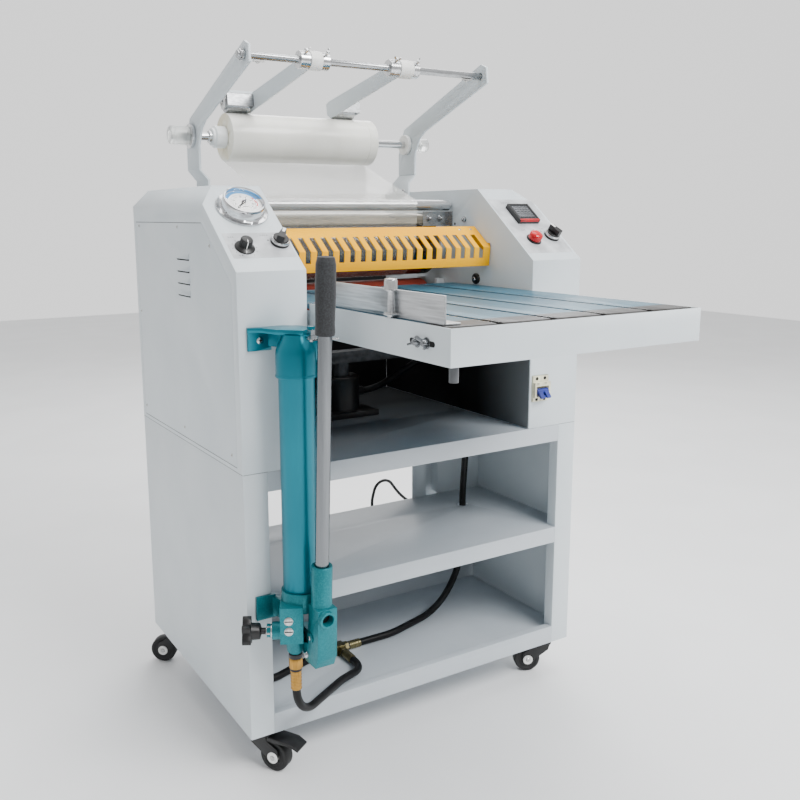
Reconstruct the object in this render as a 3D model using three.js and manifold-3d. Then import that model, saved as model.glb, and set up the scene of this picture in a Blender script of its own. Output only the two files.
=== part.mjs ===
// A hydraulic roll laminator on a wheeled stand, in millimetres.
// +Z is up, -Y is the operator's side and +X is the operator's right.
// The parts are drawn with X = 0 on the machine's centre plane and Y = 0 on the housings' front face.
// The whole machine is then moved so that the origin is under the middle of its bounding box.

import * as THREE from "three";
import { mergeVertices } from "three/addons/utils/BufferGeometryUtils.js";
import Module from "manifold-3d";

const wasm = await Module();
wasm.setup();

// ---- driving dimensions ----
const GAP = 0.3; // between touching pieces
const HALF_WIDTH = 330;
const DEPTH = 484;
const INNER_WALL = 219; // inner faces of the two housings
const FLOOR_CLEARANCE = 72; // underside of the stand
const SEAM = 501; // the stand ends and the housings begin
const FRONT_TOP = 800; // the front faces end and the slopes begin
const ROOF = 925;
const SLOPE_DEPTH = 160;
const CHAMFER_LEG = 30;
const CHAMFER_LOW = 896;
const SHEET = 2; // sheet metal thickness
const INNER_SHEET = 3;

const STILE = 40; // front uprights of the stand
const MID_SHELF_TOP = 304;
const MID_SHELF_LIP = 30;
const MID_SHELF_DEPTH = 284;
const BOTTOM_SHELF_TOP = 94;
const BOTTOM_RAIL_TOP = 105;
const BACK_PANEL_Y = 296;
const REAR_SCREEN_TOP = 752; // the screen behind the lower roller
const SCREEN_HALF = 218.4;

const HEATED_ROLLER = { y: 300, z: 823, radius: 60, half: 190 };
const PRESSURE_ROLLER = { y: 300, z: 712.5, radius: 42.5, half: 185 };
const IDLER = { y: 243, z: 896, radius: 10 };
const UNWIND = { y: 417, z: 1021, shaft: 7.5 };
const FILM = { from: -172, to: 136, radius: 43.5, core: 12.5 };
const TOP_ROD = { y: 172, z: 1126, radius: 6 };
const ARM_PLATE = { from: 230, to: 234.5 };
const WEB_THICKNESS = 1;
const PRESS_ROLLER = { y: 419, z: 1080, radius: 15, length: 46 };

const GUARD_PIVOT = { y: 172, z: 838 };
const TABLE = { half: 215, front: -358, top: 749, bottom: 703, back: 225 };

const SLOPE_ANGLE = Math.atan2(ROOF - FRONT_TOP, SLOPE_DEPTH);
const GAUGE = { x: -271, s: 142 }; // s is the distance up the slope
const SPEED_KNOB = { x: -298, s: 52 };
const LEFT_SELECTOR = { x: -238, s: 62 };
const RIGHT_SELECTOR = { x: 304, s: 63 };
const RED_BUTTON = { x: 257, s: 55 };
const CONTROLLER = { x: 274, s: 123.5, size: 48 };
const BREAKER = { x: 242, z: 573, width: 36, height: 46 };

const PUMP = { x: -263, y: -50, radius: 26.5, bottom: 330, top: 651 };
const VALVE_BLOCK = { x: -277, y: -55, turn: THREE.MathUtils.degToRad(-28) };
const LEVER_PIVOT = { x: -254, y: -78, z: 236 };
const LEVER_LEAN = THREE.MathUtils.degToRad(3.4);
const LEVER_AXIS_Y = -15.2; // the socket's axis in the lever's own frame

const CASTER = { x: 297, front: 38, back: 446, trail: 28, radius: 25, width: 20 };
const CASTER_TURN = { front_left: -56, front_right: 155, rear_left: 145, rear_right: 120 };

const HOSE_DIAMETER = 13;
const CORD_DIAMETER = 7;
const TEE = { x: -98, y: 140, z: 102 };
const COIL = { x: 150, y: 590, meanRadius: 39, radial: 14, height: 21 };

// The middle of the machine's outline, from the release knob to the louvres and table to casters.
const ORIGIN = { x: -10.865, y: 68.7 };

// ---- materials ----
const finish = (color, roughness, metalness = 0) =>
  new THREE.MeshStandardMaterial({ color, roughness, metalness });
const PAINT = finish(0xccd5da, 0.5);
const SHELF_PAINT = finish(0xb4bbc2, 0.5);
const STEEL = finish(0xb9babc, 0.3, 1);
const CHROME = finish(0xdadadc, 0.08, 1);
const CAST_IRON = finish(0x55585c, 0.6, 0.6);
const TEAL = finish(0x15889a, 0.4, 0.3);
const YELLOW = finish(0xf8c800, 0.45);
const BLACK_PLASTIC = finish(0x151617, 0.45);
const BLACK_RUBBER = finish(0x17181a, 0.85);
const FOAM = finish(0x33363a, 0.9);
const BRASS = finish(0xc49a52, 0.35, 1);
const ALUMINIUM = finish(0xc9cbcd, 0.4, 0.9);
const DECK = finish(0x5f8499, 0.3, 0.3);
const FILM_WHITE = finish(0xf0efe6, 0.35);
const RED = finish(0xc01822, 0.25);
const CREAM = finish(0xd6d2bf, 0.5);
const BLUE = finish(0x2b3f8f, 0.4);
const SILICONE = finish(0x8f3a2a, 0.7);
const NEEDLE = finish(0x101010, 0.5);

// ---- solids ----
function weld(geometry) {
  if (geometry.userData.welded) return geometry;
  const plain = geometry.clone();
  plain.deleteAttribute("normal");
  plain.deleteAttribute("uv");
  const merged = mergeVertices(plain, 1e-4);
  const corners = merged.index.array;
  const kept = [];
  for (let i = 0; i < corners.length; i += 3) {
    const [a, b, c] = [corners[i], corners[i + 1], corners[i + 2]];
    if (a !== b && b !== c && c !== a) kept.push(a, b, c);
  }
  merged.setIndex(kept);
  return merged;
}

function toSolid(geometry) {
  const welded = weld(geometry);
  return new wasm.Manifold(
    new wasm.Mesh({
      numProp: 3,
      vertProperties: new Float32Array(welded.attributes.position.array),
      triVerts: new Uint32Array(welded.index.array),
    }),
  );
}

function toGeometry(solid) {
  const mesh = solid.getMesh();
  const geometry = new THREE.BufferGeometry();
  geometry.setAttribute("position", new THREE.BufferAttribute(mesh.vertProperties, 3));
  geometry.setIndex(new THREE.BufferAttribute(mesh.triVerts, 1));
  geometry.computeVertexNormals();
  geometry.userData = { welded: true };
  return geometry;
}

function join(...geometries) {
  return toGeometry(geometries.map(toSolid).reduce((all, one) => all.add(one)));
}

function cut(geometry, ...tools) {
  return toGeometry(tools.map(toSolid).reduce((all, one) => all.subtract(one), toSolid(geometry)));
}

// The matrix that lays a drawing's own X, Y and depth along the machine's axes.
function layOut(axis) {
  const basis = new THREE.Matrix4();
  const [x, y, z] = [[1, 0, 0], [0, 1, 0], [0, 0, 1]].map((v) => new THREE.Vector3(...v));
  if (axis === "x") basis.makeBasis(y, z, x);
  if (axis === "y") basis.makeBasis(x, z, y.clone().negate());
  if (axis === "z") basis.makeBasis(x, y, z);
  return basis;
}

// An outline extruded along an axis: (y, z) along x, (x, z) along y, or (x, y) along z.
function plate(axis, outline, from, to, holes = []) {
  const points = outline.map(([a, b]) => new THREE.Vector2(a, b));
  if (THREE.ShapeUtils.isClockWise(points)) points.reverse();
  const shape = new THREE.Shape(points);
  for (const hole of holes) shape.holes.push(hole);
  const options = { depth: to - from, bevelEnabled: false, curveSegments: 12 };
  const geometry = new THREE.ExtrudeGeometry(shape, options);
  if (axis === "y") geometry.translate(0, 0, -to);
  else geometry.translate(0, 0, from);
  return geometry.applyMatrix4(layOut(axis));
}

function roundHole(a, b, radius, sides = 20) {
  const points = [];
  for (let i = 0; i < sides; i += 1) {
    const angle = (-i / sides) * Math.PI * 2;
    points.push(new THREE.Vector2(a + radius * Math.cos(angle), b + radius * Math.sin(angle)));
  }
  return new THREE.Path(points);
}

function box(x0, x1, y0, y1, z0, z1) {
  const geometry = new THREE.BoxGeometry(x1 - x0, y1 - y0, z1 - z0);
  return geometry.translate((x0 + x1) / 2, (y0 + y1) / 2, (z0 + z1) / 2);
}

// A cylinder along an axis; a and b are the two other coordinates, in X, Y, Z order.
function bar(axis, radius, from, to, a, b, sides = 24) {
  const geometry = new THREE.CylinderGeometry(radius, radius, to - from, sides);
  const middle = (from + to) / 2;
  if (axis === "x") return geometry.rotateZ(-Math.PI / 2).translate(middle, a, b);
  if (axis === "y") return geometry.translate(a, middle, b);
  return geometry.rotateX(Math.PI / 2).translate(a, b, middle);
}

// A turned piece along an axis. Its profile is a list of [radius, position] points.
function turned(axis, profile, a, b, sides = 24) {
  const points = profile.map(([radius, position]) => new THREE.Vector2(radius, position));
  const geometry = new THREE.LatheGeometry(points, sides);
  if (axis === "x") return geometry.rotateZ(-Math.PI / 2).translate(0, a, b);
  if (axis === "y") return geometry.translate(a, 0, b);
  return geometry.rotateX(Math.PI / 2).translate(a, b, 0);
}

// A straight-sided ring, closed on itself.
function ringProfile(inner, outer, from, to) {
  return [[inner, from], [outer, from], [outer, to], [inner, to], [inner, from]];
}

function ring(axis, inner, outer, from, to, a, b, sides = 24) {
  return turned(axis, ringProfile(inner, outer, from, to), a, b, sides);
}

// A centre line through corner points [x, y, z, radius], with a true arc at each inner corner.
function route(corners) {
  const at = corners.map(([x, y, z]) => new THREE.Vector3(x, y, z));
  const points = [at[0]];
  for (let i = 1; i < corners.length - 1; i += 1) {
    const back = at[i - 1].clone().sub(at[i]).normalize();
    const ahead = at[i + 1].clone().sub(at[i]).normalize();
    const turn = Math.PI - back.angleTo(ahead);
    const radius = corners[i][3];
    const start = at[i].clone().addScaledVector(back, radius * Math.tan(turn / 2));
    const middle = back.clone().add(ahead).normalize().multiplyScalar(radius / Math.cos(turn / 2));
    const centre = at[i].clone().add(middle);
    const spoke = start.clone().sub(centre);
    const steps = Math.max(2, Math.ceil(turn / 0.3));
    for (let k = 0; k <= steps; k += 1) {
      const angle = (turn * k) / steps;
      const point = centre.clone().addScaledVector(spoke, Math.cos(angle));
      points.push(point.addScaledVector(back, -radius * Math.sin(angle)));
    }
  }
  points.push(at[at.length - 1]);
  return points.map((point) => point.toArray());
}

function tube(points, diameter, sides, steps) {
  const outline = [];
  for (let i = 0; i < sides; i += 1) {
    const angle = (i / sides) * Math.PI * 2;
    const x = (Math.cos(angle) * diameter) / 2;
    outline.push(new THREE.Vector2(x, (Math.sin(angle) * diameter) / 2));
  }
  const path = new THREE.CatmullRomCurve3(points.map((p) => new THREE.Vector3(...p)));
  const options = { steps, extrudePath: path, bevelEnabled: false };
  return new THREE.ExtrudeGeometry(new THREE.Shape(outline), options);
}

const mirrored = (outline) => outline.map(([x, other]) => [-x, other]);

const machine = new THREE.Group();
machine.position.set(-ORIGIN.x, -ORIGIN.y, 0);

function add(name, geometry, material, parent = machine) {
  const mesh = new THREE.Mesh(geometry, material);
  mesh.name = name;
  parent.add(mesh);
}

// A group whose own Z axis is square to the housings' slope; its Y axis runs up the slope.
const slope = new THREE.Group();
slope.position.set(0, 0, FRONT_TOP);
slope.rotation.set(SLOPE_ANGLE, 0, 0);
slope.updateMatrix();
machine.add(slope);

// ---- stand ----
const STAND_TOP = SEAM - GAP;
const PANEL_IN = HALF_WIDTH - SHEET;

// The section of a side panel: outer wall, front stile with its return, and rear flange.
function sideSection(side) {
  const inner = HALF_WIDTH - STILE;
  const returnDepth = 22;
  const outline = [
    [HALF_WIDTH, 0], [HALF_WIDTH, DEPTH], [HALF_WIDTH - STILE, DEPTH],
    [HALF_WIDTH - STILE, DEPTH - SHEET], [PANEL_IN, DEPTH - SHEET], [PANEL_IN, SHEET],
    [inner + SHEET, SHEET], [inner + SHEET, returnDepth], [inner, returnDepth], [inner, 0],
  ];
  return side > 0 ? outline : mirrored(outline);
}

// The folded panel that closes the right rear corner of the upper bay.
function cornerPanel() {
  const y = MID_SHELF_DEPTH;
  const outline = [
    [159, y], [192, y], [192, y + 24], [222, y + 24], [222, y], [PANEL_IN + 0.5, y],
    [PANEL_IN + 0.5, y + SHEET], [222 + SHEET, y + SHEET], [222 + SHEET, y + 24 + SHEET],
    [192 - SHEET, y + 24 + SHEET], [192 - SHEET, y + SHEET], [159, y + SHEET],
  ];
  return plate("z", outline, MID_SHELF_TOP + GAP, STAND_TOP - SHEET - GAP);
}

add("stand_left_side", plate("z", sideSection(-1), FLOOR_CLEARANCE, STAND_TOP), PAINT);
const rightSide = plate("z", sideSection(1), FLOOR_CLEARANCE, STAND_TOP);
add("stand_right_side", join(rightSide, cornerPanel()), PAINT);

// A shelf plate that is narrower between the stiles' returns at the front.
function shelfPlate(top, depth, holes) {
  const front = HALF_WIDTH - STILE - GAP;
  const wide = PANEL_IN - GAP;
  const step = 22 + GAP;
  const outline = [
    [-front, 0], [front, 0], [front, step], [wide, step],
    [wide, depth], [-wide, depth], [-wide, step], [-front, step],
  ];
  return plate("z", outline, top - SHEET, top, holes);
}

const hoseHoles = (rightX) => [roundHole(rightX, 200, 12), roundHole(-305, 200, 12)];
const railHalf = HALF_WIDTH - STILE - GAP;
const rail = (low, high) => box(-railHalf, railHalf, 0, SHEET, low, high);

const topPlate = shelfPlate(STAND_TOP, DEPTH - SHEET - GAP, hoseHoles(234));
const rearScreen = box(
  -SCREEN_HALF, SCREEN_HALF, DEPTH - SHEET - GAP - 1.5, DEPTH - SHEET - GAP, STAND_TOP - 1, REAR_SCREEN_TOP,
);
add("stand_top_shelf", join(topPlate, rail(470, STAND_TOP), rearScreen), SHELF_PAINT);
const midPlate = shelfPlate(MID_SHELF_TOP, MID_SHELF_DEPTH + SHEET, hoseHoles(224));
const midLip = rail(MID_SHELF_TOP - MID_SHELF_LIP, MID_SHELF_TOP);
add("stand_mid_shelf", join(midPlate, midLip), SHELF_PAINT);

const backPanel = box(
  -PANEL_IN + GAP, PANEL_IN - GAP, BACK_PANEL_Y, BACK_PANEL_Y + SHEET,
  BOTTOM_SHELF_TOP - 1, MID_SHELF_TOP - SHEET - 4,
);
const bottomRail = [
  rail(FLOOR_CLEARANCE, BOTTOM_RAIL_TOP),
  box(-railHalf, railHalf, 0, 14, BOTTOM_RAIL_TOP - SHEET, BOTTOM_RAIL_TOP),
  box(-railHalf, railHalf, 12, 14, BOTTOM_SHELF_TOP - SHEET, BOTTOM_RAIL_TOP),
];
const casterPads = [];
for (const x of [-CASTER.x, CASTER.x])
  for (const y of [CASTER.front, CASTER.back]) {
    const half = 30 - 0.4;
    casterPads.push(box(x - half, x + half, y - 14, y + half, FLOOR_CLEARANCE - 3, BOTTOM_SHELF_TOP - 1));
  }
const bottomPlate = shelfPlate(BOTTOM_SHELF_TOP, DEPTH - SHEET - GAP, []);
add("stand_bottom_shelf", join(bottomPlate, ...bottomRail, backPanel, ...casterPads), SHELF_PAINT);

// ---- side housings ----
const COVER_OUTLINE = [[20, 508], [470, 508], [470, 868], [131, 868], [20, 781.3]];

// The outline with every edge moved in by a distance (negative moves it out).
function inset(outline, distance) {
  return outline.map((point, i) => {
    const before = outline[(i + outline.length - 1) % outline.length];
    const after = outline[(i + 1) % outline.length];
    const edgeNormal = ([ax, ay], [bx, by]) => {
      const length = Math.hypot(bx - ax, by - ay);
      return [-(by - ay) / length, (bx - ax) / length];
    };
    const [n1x, n1y] = edgeNormal(before, point);
    const [n2x, n2y] = edgeNormal(point, after);
    const scale = distance / (1 + n1x * n2x + n1y * n2y);
    return [point[0] + (n1x + n2x) * scale, point[1] + (n1y + n2y) * scale];
  });
}

// Pieces are drawn for the right-hand side and mirrored for the left-hand one.
// A mirrored mesh faces inwards, so each of its triangles is turned round.
function placed(geometry, side) {
  if (side > 0) return geometry;
  const flipped = weld(geometry).clone();
  flipped.scale(-1, 1, 1);
  const corners = Array.from(flipped.index.array);
  for (let i = 0; i < corners.length; i += 3)
    [corners[i + 1], corners[i + 2]] = [corners[i + 2], corners[i + 1]];
  flipped.setIndex(corners);
  flipped.userData = { welded: true };
  return flipped;
}

function housingBody() {
  const outer = [[0, SEAM], [DEPTH, SEAM], [DEPTH, ROOF], [SLOPE_DEPTH, ROOF], [0, FRONT_TOP]];
  const roofIn = ROOF - SHEET;
  const inner = [
    [SHEET, SEAM - 5], [DEPTH - SHEET, SEAM - 5], [DEPTH - SHEET, roofIn],
    [SLOPE_DEPTH + 0.9, roofIn], [SHEET, FRONT_TOP - 1],
  ];
  const wedge = (shift) => {
    const leg = CHAMFER_LEG + 5;
    const low = CHAMFER_LOW - 5 - shift;
    return plate("y", [
      [HALF_WIDTH + 5, low], [HALF_WIDTH + 5, ROOF + 5],
      [HALF_WIDTH - CHAMFER_LEG - 5, ROOF + 5 - shift],
      [HALF_WIDTH + 5 - leg, low + leg - 1],
    ], -5, DEPTH + 5);
  };
  const outside = cut(plate("x", outer, INNER_WALL, HALF_WIDTH), wedge(0));
  const inside = cut(plate("x", inner, INNER_WALL + INNER_SHEET, PANEL_IN), wedge(3));
  const opening = plate("x", COVER_OUTLINE, PANEL_IN - 0.5, HALF_WIDTH + 1);
  const lipOutline = inset(COVER_OUTLINE, -6);
  const lipHole = new THREE.Path(inset(COVER_OUTLINE, 9).map(([a, b]) => new THREE.Vector2(a, b)));
  const lip = plate("x", lipOutline, PANEL_IN - 1.8, PANEL_IN + 0.2, [lipHole]);
  return join(cut(outside, inside, opening), lip);
}

// The bearing collar of the heated roller and the two rails that guide the lift carriage.
function bearingAndRails() {
  const inner = INNER_WALL - 14;
  const rails = [[262, 269.4], [330.6, 338]].map(([y0, y1]) =>
    box(200, INNER_WALL + 1, y0, y1, 590, 755));
  const { y, z } = HEATED_ROLLER;
  return [ring("x", 15.5, 44, inner, INNER_WALL + 1, y, z, 28), ...rails];
}

const onSlope = (geometry) => geometry.applyMatrix4(slope.matrix);

function housing(side, panelHoles, extraCuts) {
  const body = placed(housingBody(), side);
  const fittings = bearingAndRails().map((piece) => placed(piece, side));
  const { y, z } = HEATED_ROLLER;
  const shaftHole = placed(bar("x", 15.5, INNER_WALL - 20, INNER_WALL + 8, y, z, 28), side);
  return cut(join(body, ...fittings), shaftHole, ...panelHoles.map(onSlope), ...extraCuts);
}

const controlHole = ({ x, s }, radius) => bar("z", radius, -8, 8, x, s, 20);
const controllerHole = box(
  CONTROLLER.x - 22.5, CONTROLLER.x + 22.5, CONTROLLER.s - 22.5, CONTROLLER.s + 22.5, -8, 8,
);
const leftHoles = [
  controlHole(GAUGE, 31), controlHole(SPEED_KNOB, 4), controlHole(LEFT_SELECTOR, 4),
];
const rightHoles = [controllerHole, controlHole(RED_BUTTON, 9.4), controlHole(RIGHT_SELECTOR, 4)];
const breakerHole = box(
  BREAKER.x - 18.5, BREAKER.x + 18.5, -5, 5, BREAKER.z - 23.5, BREAKER.z + 23.5,
);
const cylinderHoseHole = bar("x", 12, 200, 240, 202, 640, 20);

add("left_housing", housing(-1, leftHoles, []), PAINT);
add("right_housing", housing(1, rightHoles, [breakerHole, cylinderHoseHole]), PAINT);

const LOUVRES = { back: 249, front: 191, first: 752, pitch: 19.5, count: 4, proud: 3, height: 11 };

function sideCover() {
  const body = plate("x", inset(COVER_OUTLINE, 0.6), HALF_WIDTH - 1.5, HALF_WIDTH);
  const hoods = [];
  for (let i = 0; i < LOUVRES.count; i += 1) {
    const slot = LOUVRES.first + i * LOUVRES.pitch;
    const section = [
      [HALF_WIDTH - 0.5, slot], [HALF_WIDTH + LOUVRES.proud, slot],
      [HALF_WIDTH + LOUVRES.proud, slot + 1.5], [HALF_WIDTH - 0.5, slot + LOUVRES.height],
    ];
    hoods.push(plate("y", section, LOUVRES.front, LOUVRES.back));
  }
  return join(body, ...hoods);
}
add("left_side_cover", placed(sideCover(), -1), PAINT);
add("right_side_cover", placed(sideCover(), 1), PAINT);

// ---- safety guard over the roller inlet ----
function safetyGuard() {
  const half = INNER_WALL - 2;
  const section = [
    [119, 786], [121, 786], [118.1, 819.2], [166.2, 855.4], [165, 857], [116, 820],
  ];
  const sheet = plate("x", section, -half, half);
  const slots = [];
  const count = 20;
  for (let i = 0; i < count; i += 1) {
    const x = -half + 20 + (i * (2 * half - 40)) / (count - 1);
    slots.push(box(x - 5, x + 5, 100, 152, 801, 842));
  }
  const tab = [[118, 820], [166, 856], [176, 846], [180, 838], [175, 829], [165, 829], [120.5, 806], [119, 812]];
  const ends = [-half, half - SHEET].map((x) =>
    plate("x", tab, x, x + SHEET, [roundHole(GUARD_PIVOT.y, GUARD_PIVOT.z, 3)]));
  return join(cut(sheet, ...slots), ...ends);
}
add("safety_guard", safetyGuard(), YELLOW);

// ---- feed table ----
function feedTray() {
  const { half: x, front, top, bottom } = TABLE;
  const frontWall = box(-x, x, front, front + SHEET, bottom, top);
  const pieces = [frontWall, box(-x, x, front, front + 15, bottom, bottom + SHEET)];
  for (const side of [-1, 1]) {
    const wall = box(x - SHEET, x, front, -0.5, bottom, top);
    const flange = box(x - 15, x, front, -0.5, bottom, bottom + SHEET);
    const ledge = box(x - 14, x - 1, front + 1, -0.5, 738.2, 740.5);
    const arm = box(x - 4.5, x - 1.5, -30, 175, bottom + 8, 738);
    pieces.push(...[wall, flange, ledge, arm].map((piece) => placed(piece, side)));
  }
  pieces.push(bar("z", 5, 680, bottom + 1, -190, -330, 12));
  pieces.push(box(1 - x, -180, -345, -315, bottom, bottom + SHEET));
  return join(...pieces);
}
add("feed_tray", feedTray(), PAINT);

function feedDeck() {
  const half = TABLE.half - SHEET - 0.6;
  const { front, back } = TABLE;
  const stripCount = 5;
  const groove = 10;
  const width = (2 * half - (stripCount - 1) * groove) / stripCount;
  const noseRadius = 7;
  const strips = [];
  for (let i = 0; i < stripCount; i += 1) {
    const x = -half + i * (width + groove);
    const nose = new THREE.Shape();
    nose.moveTo(back, 742);
    nose.lineTo(back, 749);
    nose.lineTo(front + 12 + noseRadius, 749);
    nose.absarc(front + 12 + noseRadius, 749 - noseRadius, noseRadius, Math.PI / 2, Math.PI, false);
    const outline = nose.getPoints(4).map((p) => [p.x, p.y]);
    strips.push(plate("x", outline, x, x + width));
  }
  return join(box(-half, half, front + 3, back, 740.8, 742.5), ...strips);
}
add("feed_deck", feedDeck(), DECK);

function feedGuide() {
  const upright = box(-206, -203, -332, -60, 749.4, 785);
  const foot = box(-206, -181, -332, -60, 749.4, 751.6);
  const tab = box(-217, -204, -233, -213, 752, 755);
  const post = bar("z", 4.5, 749.6, 788, -212, -223, 16);
  const head = bar("z", 8, 784, 799, -212, -223, 20);
  return join(upright, foot, tab, post, head);
}
add("feed_guide", feedGuide(), ALUMINIUM);

// ---- laminating rollers and the hydraulic lift ----
function heatedRoller() {
  const { y, z, radius, half } = HEATED_ROLLER;
  const journal = 15;
  return turned("x", [
    [0, -214], [journal, -214], [journal, -half], [radius, -half], [radius, half],
    [journal, half], [journal, 229], [34, 229], [34, 236], [journal, 236], [journal, 240], [0, 240],
  ], y, z, 40);
}
add("heated_roller", heatedRoller(), CHROME);

function pressureRoller() {
  const { y, z, radius, half } = PRESSURE_ROLLER;
  return turned("x", [
    [0, -199.5], [12, -199.5], [12, -half], [radius, -half],
    [radius, half], [12, half], [12, 199.5], [0, 199.5],
  ], y, z, 32);
}
add("pressure_roller", pressureRoller(), SILICONE);

function liftCarriage() {
  const { y, z } = PRESSURE_ROLLER;
  const cheek = plate("x", [[270, 600], [330, 600], [330, 738], [270, 738]], 190, 206,
    [roundHole(y, z, 12.4)]);
  const beam = box(-195, 195, 285, 315, 600, 622);
  const ram = bar("z", 18, 527, 601, 0, 300, 24);
  return join(placed(cheek, 1), placed(cheek, -1), beam, ram);
}
add("lift_carriage", liftCarriage(), CAST_IRON);

function hydraulicCylinder() {
  const bore = 18.3;
  const body = turned("z", [
    [0, SEAM], [38, SEAM], [38, 572], [34, 576], [bore, 576], [bore, 522], [0, 522],
  ], 0, 300, 32);
  const base = box(-55, 55, 245, 355, SEAM, SEAM + 10);
  const port = bar("x", 9, 30, 50, 300, 540, 16);
  return join(body, cut(base, bar("z", 20, 505, 520, 0, 300)), port);
}
add("hydraulic_cylinder", hydraulicCylinder(), TEAL);

add("idler_roller", turned("x", [
  [0, -217.5], [5, -217.5], [IDLER.radius, -212], [IDLER.radius, 212], [5, 217.5], [0, 217.5],
], IDLER.y, IDLER.z, 24), CHROME);

function driveMotor() {
  const gearbox = box(248, 322, 215, 305, 585, 680);
  const shaft = bar("x", 8, 226, 250, 262, 632, 16);
  const sprocket = bar("x", 22, 229, 236, 262, 632, 24);
  const motor = bar("y", 37, 300, 430, 285, 632, 28);
  const foot = box(252, 320, 225, 400, SEAM + GAP, SEAM + 6);
  const stay = box(268, 302, 250, 290, SEAM, 590);
  return join(gearbox, shaft, sprocket, motor, foot, stay);
}
add("drive_motor", driveMotor(), CAST_IRON);

// ---- film unwind frame ----
function unwindArm(side) {
  const [near, far] = [ARM_PLATE.from, ARM_PLATE.to];
  const outline = [
    [387, 961], [447, 961], [447, 1003], [427, 1052], [170, 1147],
    [155, 1140], [152, 1113], [352, 1043], [372, 1030], [387, 1003],
  ];
  const holes = [roundHole(UNWIND.y, UNWIND.z, 8.2), roundHole(TOP_ROD.y, TOP_ROD.z, 6.5)];
  const upper = plate("x", outline, near, far, holes);
  const foot = INNER_WALL - GAP;
  const thick = far - near;
  const joggle = plate("y", [
    [near, 962], [near + 1, 960], [foot - thick, 943], [foot - thick, 888],
    [foot, 888], [foot, 942], [far, 960.5], [far, 962],
  ], 387, 447);
  return placed(join(upper, joggle), side);
}
add("unwind_arm_left", unwindArm(-1), PAINT);
add("unwind_arm_right", unwindArm(1), PAINT);

const COLLARS = [[-140, -122], [-100.2, -86.4], [31, 50.4], [77.4, 90.4]];

function topRod() {
  const { y, z, radius } = TOP_ROD;
  const rod = bar("x", radius, -246, 234, y, z, 20);
  const collars = COLLARS.map(([from, to]) => bar("x", 14, from, to, y, z, 24));
  const nut = bar("x", 9, -243, -235, y, z, 6);
  return join(rod, nut, ...collars);
}
add("top_rod", topRod(), STEEL);

// Shaft, chucks, brake ring and both hand knobs, which are keyed together.
function filmShaft() {
  const r = UNWIND.shaft;
  return turned("x", [
    [0, -277], [15, -277], [16.5, -275], [16.5, -245], [15, -243], [8, -243],
    [8, -241.5], [22, -241.5], [22, -235.2], [r, -235.2], [r, -199], [17, -199],
    [21, -194], [21, FILM.from - 0.4], [r, FILM.from - 0.4], [r, 104], [12.1, 106],
    [12.1, FILM.to + 3], [r, FILM.to + 5], [r, 222], [20, 222], [20, 229.5],
    [r, 229.5], [r, 252], [13, 252], [14, 254], [14, 277], [13, 279], [0, 279],
  ], UNWIND.y, UNWIND.z, 22);
}
add("film_shaft", filmShaft(), STEEL);
add("film_roll", ring("x", FILM.core, FILM.radius, FILM.from, FILM.to, UNWIND.y, UNWIND.z, 40),
  FILM_WHITE);

// The film: off the underside of its roll, over the idler and down round the heated roller.
function filmWeb() {
  const half = WEB_THICKNESS / 2;
  const pointOn = (centre, radius, degrees) => {
    const angle = THREE.MathUtils.degToRad(degrees);
    return [centre.y + radius * Math.cos(angle), centre.z + radius * Math.sin(angle)];
  };
  const arc = (centre, radius, from, to, count) => {
    const points = [];
    for (let i = 0; i <= count; i += 1)
      points.push(pointOn(centre, radius, from + ((to - from) * i) / count));
    return points;
  };
  const clear = 0.5 + half;
  const rollTangent = 290.7; // where the film leaves its roll, in degrees round the roll
  const idlerArc = [110.7, 185.3];
  const side = (offset) => [
    pointOn(UNWIND, FILM.radius + clear - offset, rollTangent),
    ...arc(IDLER, IDLER.radius + clear + offset, ...idlerArc, 5),
    ...arc(HEATED_ROLLER, HEATED_ROLLER.radius + clear + offset, 185.3, 262, 8),
  ];
  const outline = [...side(half), ...side(-half).reverse()];
  return plate("x", outline, FILM.from + 2, FILM.to - 2);
}
add("film_web", filmWeb(), FILM_WHITE);

// A press arm: sleeve on the top rod, flat bar and the channel that shrouds its roller.
function pressArm(sleeve, barFrom, rollerSide) {
  const { y, z } = TOP_ROD;
  const barTo = barFrom + 3;
  const end = PRESS_ROLLER;
  const along = Math.atan2(end.z - z, end.y - y);
  const normal = [-Math.sin(along), Math.cos(along)];
  const at = (t, offset) => [
    y + (end.y - y) * t + normal[0] * offset,
    z + (end.z - z) * t + normal[1] * offset,
  ];
  const outline = [
    at(-0.03, -13), at(1, -14), at(1.05, -5), at(1.05, 16), at(1, 19), at(-0.03, 13),
    at(-0.055, 6), at(-0.055, -6),
  ];
  const rod = roundHole(y, z, 6.5);
  const flat = plate("x", outline, barFrom, barTo, [rod]);
  const hub = ring("x", 6.5, 15, sleeve[0], sleeve[1], y, z, 24);
  const far = rollerSide > 0 ? barTo + end.length + 5 : barFrom - end.length - 5;
  const [from, to] = rollerSide > 0 ? [barTo - 1, far] : [far, barFrom + 1];
  const roof = plate("x", [
    at(0.9, 19), at(0.9, -8), at(0.908, -8), at(0.908, 17),
    at(1.02, 17), at(1.02, 19),
  ], from, to);
  const pin = bar("x", 3, from, to, end.y, end.z, 12);
  const endPlate = rollerSide > 0 ? [far - 2, far] : [far, far + 2];
  const cheek = plate("x", [at(0.9, 19), at(0.9, -8), at(1.03, -8), at(1.03, 19)], ...endPlate);
  return join(flat, hub, roof, pin, cheek);
}

function pressRoller(from) {
  const { y, z, radius, length } = PRESS_ROLLER;
  return ring("x", 3.3, radius, from, from + length, y, z, 28);
}
const LEFT_BAR = -121.4;
const RIGHT_BAR = 51;
add("press_arm_left", pressArm([-121.6, -100.6], LEFT_BAR, -1), STEEL);
add("press_arm_right", pressArm([50.8, 77], RIGHT_BAR, 1), STEEL);
add("press_roller_left", pressRoller(LEFT_BAR - 1 - PRESS_ROLLER.length), STEEL);
add("press_roller_right", pressRoller(RIGHT_BAR + 4), STEEL);

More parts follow.
